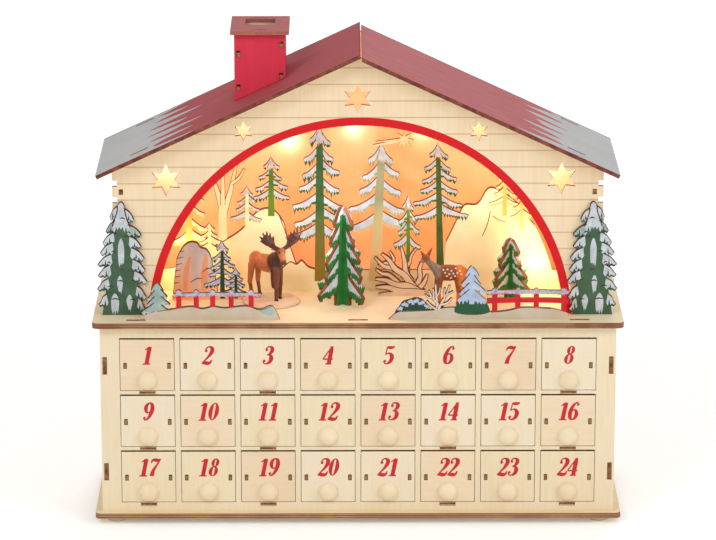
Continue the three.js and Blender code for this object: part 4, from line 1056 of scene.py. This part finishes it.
# Firs in front of the house: tips of the branches, from the middle and above the deck
OUTER_RIGHT = [(8.6, 76.3), (11.8, 65.3), (14.2, 56.3), (16.4, 48.3), (18.4, 39.3), (18.2, 30.8),
               (18.9, 20.3), (18.2, 8)]
OUTER_LEFT = [(9.6, 74.3), (15.2, 62.3), (15.0, 53.3), (17.1, 44.3), (17.6, 35.3), (18.9, 26.3),
              (18.4, 14.3), (17.4, 5)]
OUTER_PATCHES = [(0.4, 60, 37, 4.6, 0.9), (1.6, 31, 15, 4.2, 0.6), (-5.4, 16, 1, 4.8, 0.4),
                 (5.6, 17, 0, 5.8, 0.9)]
EDGE_LINE = 0.9
OUTER_DASHES = [(-1, 75.5, 4), (-5.6, 64.6, 3), (4.6, 64, 3.4), (-3, 61.4, 2.6), (6, 49.6, 3.2),
                (0, 35.4, 4.4), (1, 26.6, 5),
                (-8, 12, 4), (5, 12.4, 7), (8.6, 22.4, 5), (-8.6, 27, 3.4), (9.6, 41, 2.6)]


def build_outer_tree(node, side):
    low, high = box_mm(node)
    middle = (low.x + high.x) / 2
    foot = low.z

    def at(points):
        return [(middle - side * p[0], foot + p[1], *p[2:]) for p in points]

    right_side = curve([(15.4, 0), (12.8, 16), (10.4, 34), (7.6, 56), (5.4, 70), (2.6, 84)], 2)
    left_side = curve([(-2.6, 84), (-5.4, 70), (-8, 56), (-10.6, 34), (-13, 16), (-15, 0)], 2)
    shapes = [(SOLID, at(right_side + left_side), fir_grey)]
    lines = []
    for way, tips in ((1, OUTER_RIGHT), (-1, OUTER_LEFT)):
        for k, (reach, h) in enumerate(tips):
            inner = min(0.88 * (15.4 - 0.145 * (h + 5)), 0.8 * reach)
            upper = curve([(way * inner, h + 8.4), (way * (inner + reach) / 2, h + 6.0),
                           (way * reach * 0.9, h + 2.4), (way * reach, h)], 3)
            tip = (way * reach, h)
            lower = teeth((way * reach * 0.97, h - 1.2), (way * inner * 0.9, h - 0.6), 3, 2.4)
            tooth = night_green if k % 3 == 1 else fir_grey
            shapes.append((SOLID, at(upper + [tip] + lower), tooth))
            drips = teeth((way * reach * 0.95, h + 0.4), (way * inner * 0.9, h + 1.6), 3, 3.0)
            shapes.append((PAINT, at(upper + [tip] + drips), icy_snow if k == 1 else cool_snow))
            slit = way * (0.58 * reach + 0.2 * inner + 0.6 * math.sin(2.1 * k + way))
            shapes.append((PAINT, at([(slit - 0.7, h), (slit + 0.7, h), (slit, h + 4.4)]), night_green))
            lines += burnt(at([(*p, EDGE_LINE) for p in upper]))
    cap = curve([(-6.4, 69), (-4.6, 74), (-2.9, 81), (-2.4, 86), (0, 88.2), (2.4, 86), (2.9, 81), (5.2, 74),
                 (6.8, 69)], 3)
    cap_drips = [(6.8, 69)] + teeth((6.6, 69), (-6.2, 69), 5, 6.5)
    shapes.append((SOLID, at(cap + cap_drips[1:]), cool_snow))
    lines += burnt(at([(*p, EDGE_LINE) for p in cap]))
    for x, high_h, low_h, width, foot_share in OUTER_PATCHES:
        near, far = foot_share * width / 2, width / 2
        shoulder = high_h - 0.3 * (high_h - low_h)
        head = curve([(x + near, low_h + 4), (x + far, shoulder), (x, high_h), (x - far, shoulder),
                      (x - near, low_h + 4)], 4)
        drips = teeth((x - near, low_h + 4), (x + near, low_h + 4), 3, 4.0)
        shapes.append((PAINT, at(head + drips[:-1]), cool_snow))
    for x, h, length in OUTER_DASHES:
        lines += burnt(at([(x - length / 2, h - 0.5, 0.5), (x, h + 0.5, 1.2), (x + length / 2, h, 0.5)]))
    scenery(node, f"{node}_board", shapes + lines, burnt_line, fir_grey)


# Strips along the front of the deck
LEFT_BANK = [(-160, 4), (-151, 7), (-141, 8.3), (-126, 10.6), (-117, 8.8), (-109, 10.6), (-100, 9.4),
             (-84, 11), (-74, 8), (-65, 11), (-60, 3)]
RIGHT_BANK = [(27, 4), (33, 6.5), (44, 7), (58, 7.8), (70, 9.4), (88, 8), (100, 6), (112, 7), (125, 9.6),
              (145, 8.6), (158, 5)]
FENCE_POSTS = (-134.8, -121.7, -109.3, -95.4, -80.4)
BRIDGE_POSTS = (103, 120.3, 134.2, 155)


def arched_bar(left, right, height, width, rise, steps=8):
    """Outline of a bar that bows up in the middle."""
    turns = [k / steps for k in range(steps + 1)]
    low = [(left + (right - left) * t, height + 4 * rise * t * (1 - t)) for t in turns]
    return low + [(x, h + width) for x, h in reversed(low)]


def post_shapes(places, half, foot, top):
    shapes = []
    for k, x in enumerate(places):
        post = [(x - half, foot), (x + half, foot)] + arc(x, top - half, half, 0, 180, 6)
        shapes.append((SOLID, up(post), fence_red))
        cap = arc(x, top - half, half + 0.3, -10, 190, 8)
        wide = half + 0.4
        low = top - half - 1.6
        cap += teeth((x - wide, low), (x + wide, low), 3, 1.6 + 0.5 * (k % 2))
        shapes.append((SOLID, up(cap), lilac_snow))
    return shapes


def snow_bar(left, right, height, width, rise, snow_share):
    upper = arched_bar(left, right, height + width * (1 - snow_share), width * snow_share, rise)
    half = len(upper) // 2
    drips = teeth(upper[0], upper[half - 1], 16, 1.1)
    return [
        (SOLID, up(arched_bar(left, right, height, width, rise)), fence_red),
        (PAINT, up([upper[0]] + drips + upper[half:]), lilac_snow),
    ]


def build_left_strip():
    shapes = snow_bar(-139, -73, 17.4, 2.9, 0.8, 0.6)
    shapes += post_shapes(FENCE_POSTS, 1.9, 4, 23)
    shapes += fir_shapes(-150.6, 0, 29, 6, 11.5, 4, 3.4, icy_snow, cool_snow, icy_snow, phase=2.1,
                         branch=STEEP, line=0.9)
    shapes.append(bank_shape(-160.6, -59, 0, LEFT_BANK, bank_snow))
    hollow = [(-74, 7.6), (-68, 10.4), (-65, 10.6), (-63, 6), (-66, 3.4), (-72, 5)]
    shapes.append((PAINT, up(curve(hollow, 3, True)), icy_snow))
    shapes += strokes(PAINT, [[(x, h - 0.3, 0.5) for x, h in LEFT_BANK[1:-1]]], burnt_line)
    scenery("scenery_left", "left_strip", shapes, burnt_line)


def build_right_strip():
    shapes = snow_bar(97, 158.6, 19.2, 3.0, 0.8, 0.6)
    shapes.append((SOLID, up(arched_bar(97, 158.6, 12.4, 3.6, 0.8)), fence_red))
    shapes += post_shapes(BRIDGE_POSTS, 2.0, 4, 24)
    bush = [(28, 6), (31, 10), (34, 14), (39, 15.6), (44, 17), (49, 15), (53, 10), (55, 6)]
    shapes.append(bank_shape(27, 56, 0, bush, night_green))
    for k in range(16):
        x = 30.5 + 1.55 * k
        h = 7.6 + 6.4 * math.sin(math.pi * (k + 1) / 18) + 1.2 * math.sin(4.3 * k)
        tuft = star_line(x, deck_top + h, 1.9 + 0.5 * math.sin(2.3 * k), 5, 0.5)
        shapes.append((PAINT, tuft, blue_snow))
    mound = [(73, 8), (76, 14), (81, 18.5), (86, 20), (92, 17.5), (97, 12), (99, 8)]
    shapes.append(bank_shape(72, 100, 4, mound, mound_green))
    shapes += fir_shapes(85.6, 6, 41, 15, 11.5, 4, 2.2, blue_snow, blue_snow, blue_snow, phase=0.6,
                         tip_share=0.3, waist=0.6, branch=STEEP)
    skirt = [(75, 16), (80, 20), (86, 24), (92, 20), (97, 15)]
    shapes.append((PAINT, up(skirt + teeth((97, 15), (75, 16), 8, 4.6)), blue_snow))
    coral = [
        [(60.4, 4, 2.3), (59.6, 13, 1.9), (58.8, 19, 1.3), (58.4, 27.5, 0.8)],
        [(59.6, 13, 1.6), (56, 16.5, 1.3), (53.4, 22.4, 0.8)],
        [(57.2, 15.4, 1.1), (56.8, 19, 0.9), (56.6, 24, 0.6)],
        [(55.6, 17, 1.0), (52.6, 17.6, 0.8), (50.8, 19.6, 0.6)],
        [(59, 18, 1.1), (61, 21, 0.9), (61.8, 25, 0.6)],
        [(60.4, 8, 1.9), (63.8, 14.6, 1.5), (66.6, 19.6, 1.2), (68.9, 26.4, 0.8)],
        [(65, 16.4, 1.1), (64.8, 20.4, 0.9), (65.4, 24.6, 0.6)],
        [(66.6, 19.4, 1.0), (69.4, 20.6, 0.8), (71.4, 22, 0.6)],
        [(62.4, 11.6, 1.4), (67.2, 13, 1.1), (70.4, 16.6, 0.7)],
        [(60.4, 7, 1.7), (55.4, 10.4, 1.3), (51.8, 14.4, 0.8)],
    ]
    shapes += outlined(coral, twig_white, scene_line, 0.7)
    shapes.append(bank_shape(23, 159, 0, RIGHT_BANK, bank_snow))
    foot = arc(86, 6.5, 13.5, 180, 360, 10, 0.22)
    shapes.append((PAINT, up(foot + [(99, 12), (73, 12)]), mound_green))
    rims = [[(x, h - 0.3, 0.5) for x, h in part] for part in (RIGHT_BANK[1:4], RIGHT_BANK[6:-1])]
    shapes += strokes(PAINT, rims, burnt_line)
    scenery("scenery_right", "right_strip", shapes, burnt_line)


def crossed_fir(node, height, reach, tiers, trunk, skirt_share):
    """Two boards at right angles; each is drawn flat and turned half a right angle."""
    low, high = box_mm(node)
    middle = Vector(((low.x + high.x) / 2, (low.y + high.y) / 2))
    for number, turn in ((1, SCENE_TILT), (2, -SCENE_TILT)):
        def turned(a, b, depth, turn=turn):
            off = depth - sheet / 2
            return (middle.x + a * math.cos(turn) - off * math.sin(turn),
                    middle.y + a * math.sin(turn) + off * math.cos(turn), b)

        shapes = fir_shapes(0, 0, height, skirt_share * height, reach, tiers, trunk, tree_green, tree_green,
                            cool_snow, waist=0.5, tip_share=0.26, lift=0.1, sag=-0.02, cover=0.6, line=0.6,
                            branch=STEEP, capped=False)
        part = board(f"{node}_board_{number}", shapes, turned, sheet, rust_edge,
                     back=tree_green)
        if number == 1:
            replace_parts(part, node)


# Animals: rounded masses and limbs grown into one skin, coloured by the nearest mass
def ball(centre, radii, colour, pitch=0.0):
    return "ball", Vector(centre), Vector(radii), pitch, colour


def limb(start, end, thick, thin, colour):
    return "limb", Vector(start), Vector(end), (thick, thin), colour


def part_distance(part, spot):
    """Rough distance from a spot to the skin of one part."""
    if part[0] == "ball":
        _, centre, radii, pitch, _ = part
        local = Matrix.Rotation(-pitch, 3, "Y") @ (spot - centre)
        share = Vector((local.x / radii.x, local.y / radii.y, local.z / radii.z)).length
        return (share - 1) * min(radii)
    _, start, end, (thick, thin), _ = part
    along = end - start
    t = max(0.0, min(1.0, (spot - start).dot(along) / along.length_squared))
    return (spot - start - along * t).length - (thick + (thin - thick) * t)


SKIN_GRAIN = 0.55
SKIN_SOFTENING = 4
TINT_NEAREST = 0.25
RUFFLE_SCALE = 0.9
RUFFLE_DEPTH = 0.22


def figure(name, parts, centre, turn, material):
    """One skin grown over all parts, in millimetres, then turned and put in its place."""
    mesh = bmesh.new()
    for part in parts:
        if part[0] == "ball":
            _, spot, radii, pitch, _ = part
            turned = Matrix.Translation(spot) @ Matrix.Rotation(pitch, 4, "Y")
            matrix = turned @ Matrix.Diagonal((*radii, 1))
            bmesh.ops.create_icosphere(mesh, subdivisions=3, radius=1, matrix=matrix)
            continue
        _, start, end, (thick, thin), _ = part
        along = end - start
        aim = Vector((0, 0, 1)).rotation_difference(along.normalized()).to_matrix().to_4x4()
        matrix = Matrix.Translation((start + end) / 2) @ aim
        bmesh.ops.create_cone(mesh, cap_ends=True, segments=14, radius1=thick, radius2=thin,
                              depth=along.length, matrix=matrix)
        bmesh.ops.create_icosphere(mesh, subdivisions=2, radius=thick, matrix=Matrix.Translation(start))
        bmesh.ops.create_icosphere(mesh, subdivisions=2, radius=thin, matrix=Matrix.Translation(end))
    draft = bpy.data.objects.new(f"{name}_rough", mesh_data(f"{name}_rough", mesh, []))
    bpy.context.scene.collection.objects.link(draft)
    remesh = draft.modifiers.new("grow", "REMESH")
    remesh.mode = "VOXEL"
    remesh.voxel_size = SKIN_GRAIN
    smooth = draft.modifiers.new("soften", "SMOOTH")
    smooth.factor = 0.5
    smooth.iterations = SKIN_SOFTENING
    grown = bpy.data.meshes.new_from_object(draft.evaluated_get(bpy.context.evaluated_depsgraph_get()))
    bpy.data.objects.remove(draft)
    tint = grown.color_attributes.new("coat", "FLOAT_COLOR", "POINT")
    for vertex in grown.vertices:
        near = [(max(0.0, part_distance(part, vertex.co)) + TINT_NEAREST, part[-1]) for part in parts]
        weights = [1 / distance ** 4 for distance, _ in near]
        total = sum(weights)
        shade = [sum(w * colour[i] for w, (_, colour) in zip(weights, near)) / total for i in range(3)]
        tint.data[vertex.index].color = (*shade, 1)
        ruffle = noise.noise(vertex.co * RUFFLE_SCALE) * RUFFLE_DEPTH
        vertex.co += vertex.normal * ruffle
    grown.transform(Matrix.Scale(MM, 4) @ Matrix.Translation(centre) @ Matrix.Rotation(turn, 4, "Z"))
    grown.name = name
    grown.materials.clear()
    grown.materials.append(material)
    return piece(name, grown, ROOT, smooth=True)


def coat(name):
    nodes = Nodes(name, 0.55)
    tint = nodes.add("ShaderNodeAttribute", attribute_name="coat")
    fur = nodes.noise(420.0, nodes.stretched((1, 1, 0.35)), 3.0)
    dark = nodes.add("ShaderNodeMix", data_type="RGBA", blend_type="MULTIPLY")
    dark.inputs["B"].default_value = (0.62, 0.58, 0.56, 1)
    nodes.feed(dark.inputs["Factor"], nodes.between(fur, 0.4, 0.75))
    nodes.link(tint.outputs["Color"], dark.inputs["A"])
    nodes.bump(fur, 0.15, 0.5)
    return nodes.colour(dark.outputs["Result"])


FUR = rgb(182, 106, 66)
FUR_PALE = rgb(206, 134, 84)
MANE = rgb(84, 54, 48)
SHANK = rgb(122, 68, 46)
CHEST = rgb(124, 72, 52)
HOOF = rgb(46, 32, 30)
HORN = rgb(96, 58, 54)


def leg_parts(places, spread, hip, thick, upper, shank):
    """A pair of legs at the places along the body; rear ones bend backwards."""
    parts = []
    for x, y in zip(places, (spread, -spread)):
        bend = LEG_KNEE_FRONT if x > 0 else LEG_KNEE_REAR
        knee = (x + bend, y, hip * 0.5)
        parts.append(limb((x, y * 0.8, hip), knee, thick, thick * 0.6, upper))
        parts.append(limb(knee, (x + 0.4, y, 3.2), thick * 0.52, thick * 0.42, shank))
        parts.append(ball(knee, (thick * 0.62,) * 3, upper))
        parts.append(limb((x + 0.4, y, 3.6), (x + 0.9, y, 1.0), thick * 0.5, thick * 0.66, HOOF))
    return parts


LEG_KNEE_FRONT = 0.8
LEG_KNEE_REAR = -1.4
HEAD_TURN = math.radians(-34)
HEAD_AT = Vector((15.2, -2, 41.6))
# Antlers beside the head: masses (aside, height, size), and tines (foot, foot height, tip, tip height)
PALMS = [(7.2, 6.2, 2.7), (9.6, 8.2, 3.1), (11.6, 10.4, 2.6)]
TINES = [(6.2, 6, 5.6, 12.6), (8.2, 8.6, 8.2, 15.2), (10.4, 10.6, 11, 16.8), (12, 11, 14, 16.2),
         (12.4, 9, 16.6, 13.4), (11, 7, 16, 9.6)]


def moose_parts():
    def head(forward, aside, rise):
        """A place from the middle of the head, which looks towards the viewer."""
        turned = Matrix.Rotation(HEAD_TURN, 3, "Z") @ Vector((forward, aside, rise))
        return HEAD_AT + turned

    parts = [
        ball((-2, 0, 30), (13.5, 5.6, 6.4), FUR), ball((7.4, 0, 32.4), (6.6, 5.8, 7.6), MANE),
        ball((-11, 0, 31.4), (5.8, 5.2, 6.6), FUR), ball((0, 0, 26.8), (9, 4.6, 3.8), FUR_PALE),
        ball((-1, 0, 35), (8, 2.6, 2.2), FUR),
        limb((9, 0, 34), HEAD_AT - Vector((1.5, 0, 1.5)), 5.2, 3.6, MANE),
        limb((10.6, -1.2, 32), (11.6, -1.8, 23), 4.2, 2.4, MANE),
        limb((9, -3, 27), (9, -3.6, 14), 3, 1.9, MANE), ball(HEAD_AT, (3.5, 3.3, 3.6), FUR),
        limb(head(1, 0, -0.5), head(6, 0, -6), 2.9, 2.2, FUR_PALE),
        ball(head(6.4, 0, -6.4), (2.5, 2.5, 2.3), SHANK),
        limb(head(-1.4, 2.4, 1.6), head(-2.4, 7.2, 2.2), 1.3, 0.5, FUR),
        limb(head(-1.4, -2.4, 1.6), head(-2.4, -7.2, 2.2), 1.3, 0.5, FUR),
        limb((-16, 0, 33), (-17.6, 0, 29.6), 1.4, 0.6, SHANK),
        ball(head(2.6, 2.2, 0.6), (0.8, 0.8, 0.8), HOOF), ball(head(2.6, -2.2, 0.6), (0.8, 0.8, 0.8), HOOF),
    ]
    parts += leg_parts((9, 11), 3.6, 28, 3.2, CHEST, SHANK)
    parts += leg_parts((-11, -13), 3.6, 28, 3.0, FUR, SHANK)
    for side in (1, -1):
        parts.append(limb(head(0, side * 1.4, 2.4), head(-0.6, side * 6.4, 4.8), 1.4, 1.7, HORN))
        for aside, rise, size in PALMS:
            parts.append(ball(head(-0.8, side * aside, rise), (size, size, size), HORN))
        for aside, rise, far, high in TINES:
            parts.append(limb(head(-0.8, side * aside, rise), head(-1.2, side * far, high), 1.4, 0.6, HORN))
        parts.append(limb(head(0, side * 5.4, 4.6), head(3.4, side * 6.4, 8.4), 1.1, 0.5, HORN))
    return parts


def fawn_parts():
    coat_brown = rgb(145, 84, 50)
    grey = rgb(146, 128, 116)
    orange = rgb(222, 122, 50)
    parts = [
        ball((0, 0, 26.5), (12, 5.2, 6.4), coat_brown), ball((8.5, 0, 26), (5.4, 4.9, 6.8), orange),
        ball((-6.5, 0, 26), (4.6, 4.6, 6), grey), limb((-8, 0, 28), (-16, -1.4, 36.4), 4, 2.5, grey),
        ball((-17.6, -1.8, 37.8), (3.4, 2.6, 2.7), coat_brown),
        limb((-18.4, -2.2, 37.4), (-22, -3.4, 35.8), 2.0, 1.1, grey),
        ball((-22.2, -3.5, 35.7), (0.9, 0.9, 0.8), HOOF),
        limb((-16, 0.4, 39.4), (-12.6, 3.2, 45.2), 1.9, 0.6, coat_brown),
        limb((-18, -3, 39.4), (-21.4, -5.2, 45), 1.9, 0.6, coat_brown),
        limb((13, 0, 29), (14.6, 0, 26), 1.4, 0.7, orange), ball((9.6, -1.4, 20), (4.2, 3.4, 6.6), orange),
        ball((-18.8, -4, 38.8), (0.6, 0.6, 0.6), HOOF),
    ]
    parts += leg_parts((-8, -6), 2.7, 24, 2.5, coat_brown, orange)
    return parts + leg_parts((8.5, 6.5), 2.7, 24, 2.5, coat_brown, orange)


def add_spots(name, parts, centre, turn, places, radius, material):
    """Small raised dots on the side of a figure that faces the front."""
    mesh = bmesh.new()
    for x, z in places:
        y = -9.0
        while y < 0 and min(part_distance(part, Vector((x, y, z))) for part in parts) > 0:
            y += 0.1
        matrix = Matrix.Translation((x, y, z)) @ Matrix.Diagonal((radius, radius * 0.5, radius, 1))
        bmesh.ops.create_icosphere(mesh, subdivisions=2, radius=1, matrix=matrix)
    data = mesh_data(name, mesh, [material])
    data.transform(Matrix.Scale(MM, 4) @ Matrix.Translation(centre) @ Matrix.Rotation(turn, 4, "Z"))
    return piece(name, data, ROOT, smooth=True)


MOOSE_TURN = math.radians(-38)
SPOTS = 13
SPOTS_IN_ROW = 5
SPOT_RADIUS = 0.75


def build_animals():
    low, _ = box_mm("moose")
    forest_y = box_mm("forest_board")[0].y
    moose_at = Vector((-69, forest_y - 26.9, low.z))
    turn = MOOSE_TURN
    moose = figure("moose_figure", moose_parts(), moose_at, turn, coat("moose_coat"))
    base_at = moose_at + Matrix.Rotation(turn, 3, "Z") @ Vector((4, 0, 0))
    rim = [(0.0, 0.0), (21.6, 0.0), (22.0, 0.8), (21.2, 1.7), (18.4, 2.5), (13.0, 2.9), (0.0, 3.0)]
    base_snow = paint("base_snow", rgb(222, 192, 164), rgb(206, 172, 146), mottle=90.0)
    lathe("moose_base", rim, base_at, (0, 0, 1), base_snow, ROOT, 56)
    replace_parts(moose, "moose")

    low, _ = box_mm("fawn")
    fawn_at = Vector((69, forest_y - 41.9, low.z))
    parts = fawn_parts()
    fawn = figure("fawn_figure", parts, fawn_at, 0.0, coat("fawn_coat"))
    dots = []
    for k in range(SPOTS):
        row, place = divmod(k, SPOTS_IN_ROW)
        dots.append((-4 + 3.1 * place + row * 1.3, 29.8 - 2.7 * row + 0.8 * math.sin(2.7 * k)))
    spot_white = paint("spot_white", rgb(240, 232, 222), mottle=200.0)
    add_spots("fawn_spots", parts, fawn_at, 0.0, dots, SPOT_RADIUS, spot_white)
    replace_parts(fawn, "fawn")


# Light string behind the arch, and the battery case
WIRE_RADIUS = 0.6
WIRE_STANDOFF = 0.7
WIRE_OUTSIDE = 4.0
BULB_RADIUS = 1.6
BULBS = 9


def glowing(name, colour, strength):
    nodes = Nodes(name, 0.3)
    nodes.shader.inputs["Emission Color"].default_value = colour
    nodes.shader.inputs["Emission Strength"].default_value = strength
    return nodes.colour(nodes.mix(nodes.noise(500.0), colour, rgb(255, 240, 210)))


ARCH_STEPS = 40
CORNER_ROOM = 1


def build_lights():
    y0 = gable_high.y + WIRE_STANDOFF + WIRE_RADIUS
    low = deck_top + WIRE_STANDOFF + WIRE_RADIUS
    radius = arch_radius + WIRE_OUTSIDE
    sweep = math.acos((low + 6 - arch_z) / radius)
    wall = wall_high.x + WIRE_STANDOFF + WIRE_RADIUS + CORNER_ROOM
    rear = back_low.y - WIRE_STANDOFF - WIRE_RADIUS
    case_low, _ = box_mm("battery_case")

    def on_arch(t):
        angle = math.pi / 2 + sweep * (1 - 2 * t)
        return arch_shift + radius * math.cos(angle), y0, arch_z + radius * math.sin(angle)

    route = [
        (case_low.x - 1.2, rear, low), ((case_low.x + 0.5 + wall) / 2, rear, low),
        (wall + 3, rear - 1, low), (wall, rear - 8, low), (wall, (rear + y0) / 2, low), (wall, y0 + 9, low),
        (wall + 5, y0 + 1, low + 1),
    ]
    route += [on_arch(k / ARCH_STEPS) for k in range(ARCH_STEPS + 1)]
    wire_skin = plastic("clear_wire", rgb(222, 206, 170))
    wire = tube("light_wire", curve(route, 3), WIRE_RADIUS, wire_skin, ROOT)
    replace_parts(wire, "led_string")
    lit = glowing("lit_bulb", rgb(255, 214, 140), 6.0)
    for k in range(BULBS):
        x, y, z = on_arch((k + 0.5) / BULBS)
        height = 2 * BULB_RADIUS
        turns = [math.pi * s / 10 for s in range(11)]
        profile = [(BULB_RADIUS * math.sin(t), height / 2 - height / 2 * math.cos(t)) for t in turns]
        profile[0] = (0.0, 0.0)
        profile[-1] = (0.0, height)
        lathe(f"bulb_{k + 1}", profile, (x, y - WIRE_RADIUS, z), (0, 1, 0), lit, ROOT, 20)


# Places, strength and warmth of the lamps: on the rear wall, over the scene, and behind the stars
AMBER = (1.0, 0.68, 0.38)
PALE = (1.0, 0.82, 0.56)
CREAM = (1.0, 0.9, 0.78)
WHITE = (1.0, 0.97, 0.98)
GLOWS = [
    (-52.7, 50, 272, 0.012, CREAM), (-3.4, 50, 282, 0.009, CREAM), (50.5, 50, 278, 0.0045, CREAM),
    (128, 2, 200, 0.04, AMBER), (136, 10, 182, 0.02, PALE), (-136, 8, 190, 0.035, AMBER),
    (-80, -4, 226, 0.013, PALE), (96, 0, 236, 0.015, PALE), (0, -24, 250, 0.052, WHITE),
    (46, -8, 222, 0.013, PALE), (-42, -8, 226, 0.016, PALE), (-32, -14, 196, 0.012, CREAM),
    (-144, 40, 262, 0.05, WHITE), (144, 40, 262, 0.05, WHITE), (0, 46, 308, 0.0022, AMBER),
    (-86, 40, 292, 0.015, WHITE), (90, 40, 292, 0.015, WHITE),
]
GLOW_SIZE = 0.004
WASH_POWER = 0.096
WASH_WARMTH = (1.0, 0.4, 0.13)
WASH_SIZE = (0.3, 0.12)
WASH_PLACE = (0, 30, 232)


def add_lamp(name, kind, spot, watts, colour=(1.0, 1.0, 1.0)):
    lamp = bpy.data.lights.new(name, kind)
    lamp.energy = watts
    lamp.color = colour
    obj = bpy.data.objects.new(name, lamp)
    obj.location = spot
    bpy.context.scene.collection.objects.link(obj)
    return obj


def build_glow():
    """Small warm lamps that stand for what the string casts inside the house."""
    for k, (x, y, z, watts, warmth) in enumerate(GLOWS):
        lamp = add_lamp(f"glow_{k + 1}", "POINT", Vector((x, y, z)) * MM, watts, warmth)
        lamp.data.shadow_soft_size = GLOW_SIZE
    wash = add_lamp("wall_wash", "AREA", Vector(WASH_PLACE) * MM, WASH_POWER, WASH_WARMTH)
    wash.data.shape = "RECTANGLE"
    wash.data.size, wash.data.size_y = WASH_SIZE
    wash.rotation_euler = (math.radians(90), 0, 0)


def build_battery():
    white = plastic("case_plastic", rgb(230, 228, 222))
    dress("battery_case", white)
    dress("battery_cover", plastic("cover_plastic", rgb(222, 220, 212)))
    dress("power_switch", plastic("switch_plastic", rgb(40, 39, 37)))
    low, high = box_mm("battery_cover")
    ribs = []
    for k in range(5):
        x = low.x + 5 + 1.8 * k
        ribs.append((x, x + 0.8, high.y - 0.3, high.y + 0.35, low.z + 7, high.z - 7))
    boxes("cover_ribs", ribs, plastic("rib_plastic", rgb(214, 212, 204)), "battery_cover",
          0.15)


# Camera, floor and light
EYE = (-10.106, -2890.365, 989.794)
LOOK_DOWN = math.radians(15.594)
LOOK_RIGHT = math.radians(0.205)
TILT = math.radians(-0.021)
LENS = 197.19
SENSOR = 36
FAR_CLIP = 50
FLOOR_HALF = 6
FLOOR_GLOW = 0.2
SKY = (1, 0.985, 0.96, 1)
SKY_STRENGTH = 0.62
# Name, place, point aimed at, width in metres, watts
STUDIO_LAMPS = [
    ("key_lamp", (-1.4, -2.2, 2.05), (0, 0, 0.15), 1.2, 24),
    ("fill_lamp", (1.9, -1.6, 1.5), (0, 0, 0.15), 1.4, 18),
    ("rear_lamp", (0.6, 2.4, 2.0), (0, 0, 0.2), 1.6, 16),
]


def build_view():
    scene = bpy.context.scene
    camera = bpy.data.objects.new("camera", bpy.data.cameras.new("camera"))
    scene.collection.objects.link(camera)
    camera.data.lens = LENS
    camera.data.sensor_width = SENSOR
    camera.data.sensor_fit = "HORIZONTAL"
    camera.data.clip_end = FAR_CLIP
    turn = Matrix.Rotation(-LOOK_RIGHT, 4, "Z") @ Matrix.Rotation(math.pi / 2 - LOOK_DOWN, 4, "X")
    camera.matrix_world = Matrix.Translation(Vector(EYE) * MM) @ turn @ Matrix.Rotation(TILT, 4, "Z")
    scene.camera = camera

    floor_nodes = Nodes("floor", 0.9)
    floor_nodes.colour(rgb(250, 250, 250))
    path = floor_nodes.add("ShaderNodeLightPath")
    floor_nodes.shader.inputs["Emission Color"].default_value = (1, 1, 1, 1)
    seen = floor_nodes.math("MULTIPLY", path.outputs["Is Camera Ray"], FLOOR_GLOW)
    floor_nodes.link(seen, floor_nodes.shader.inputs["Emission Strength"])
    mesh = bmesh.new()
    bmesh.ops.create_grid(mesh, x_segments=1, y_segments=1, size=FLOOR_HALF)
    floor = bpy.data.objects.new("floor", mesh_data("floor", mesh, [floor_nodes.material]))
    scene.collection.objects.link(floor)

    world = bpy.data.worlds.new("studio")
    scene.world = world
    world.use_nodes = True
    nodes = world.node_tree.nodes
    links = world.node_tree.links
    light = nodes["Background"]
    light.inputs["Color"].default_value = SKY
    light.inputs["Strength"].default_value = SKY_STRENGTH
    white = nodes.new("ShaderNodeBackground")
    white.inputs["Color"].default_value = (1, 1, 1, 1)
    white.inputs["Strength"].default_value = 1.0
    chooser = nodes.new("ShaderNodeMixShader")
    rays = nodes.new("ShaderNodeLightPath")
    links.new(rays.outputs["Is Camera Ray"], chooser.inputs[0])
    links.new(light.outputs[0], chooser.inputs[1])
    links.new(white.outputs[0], chooser.inputs[2])
    links.new(chooser.outputs[0], nodes["World Output"].inputs["Surface"])

    for name, spot, aim, size, watts in STUDIO_LAMPS:
        lamp = add_lamp(name, "AREA", spot, watts)
        lamp.data.shape = "DISK"
        lamp.data.size = size
        lamp.rotation_euler = (Vector(aim) - Vector(spot)).to_track_quat("-Z", "Y").to_euler()


bpy.context.scene.view_settings.view_transform = "Standard"

dress_plates()
dress_cabinet()
dress_house()
for number in range(1, 25):
    build_drawer(number)
build_chimney()
build_feet()
build_forest()
build_rock()
build_thicket()
build_outer_tree("tree_left", 1)
build_outer_tree("tree_right", -1)
build_left_strip()
build_right_strip()
crossed_fir("centre_tree", 75.8, 24, 5, 8, 0.13)
crossed_fir("right_tree", 47.4, 19.5, 4, 5, 0.22)
build_animals()
build_lights()
build_glow()
build_battery()
build_view()
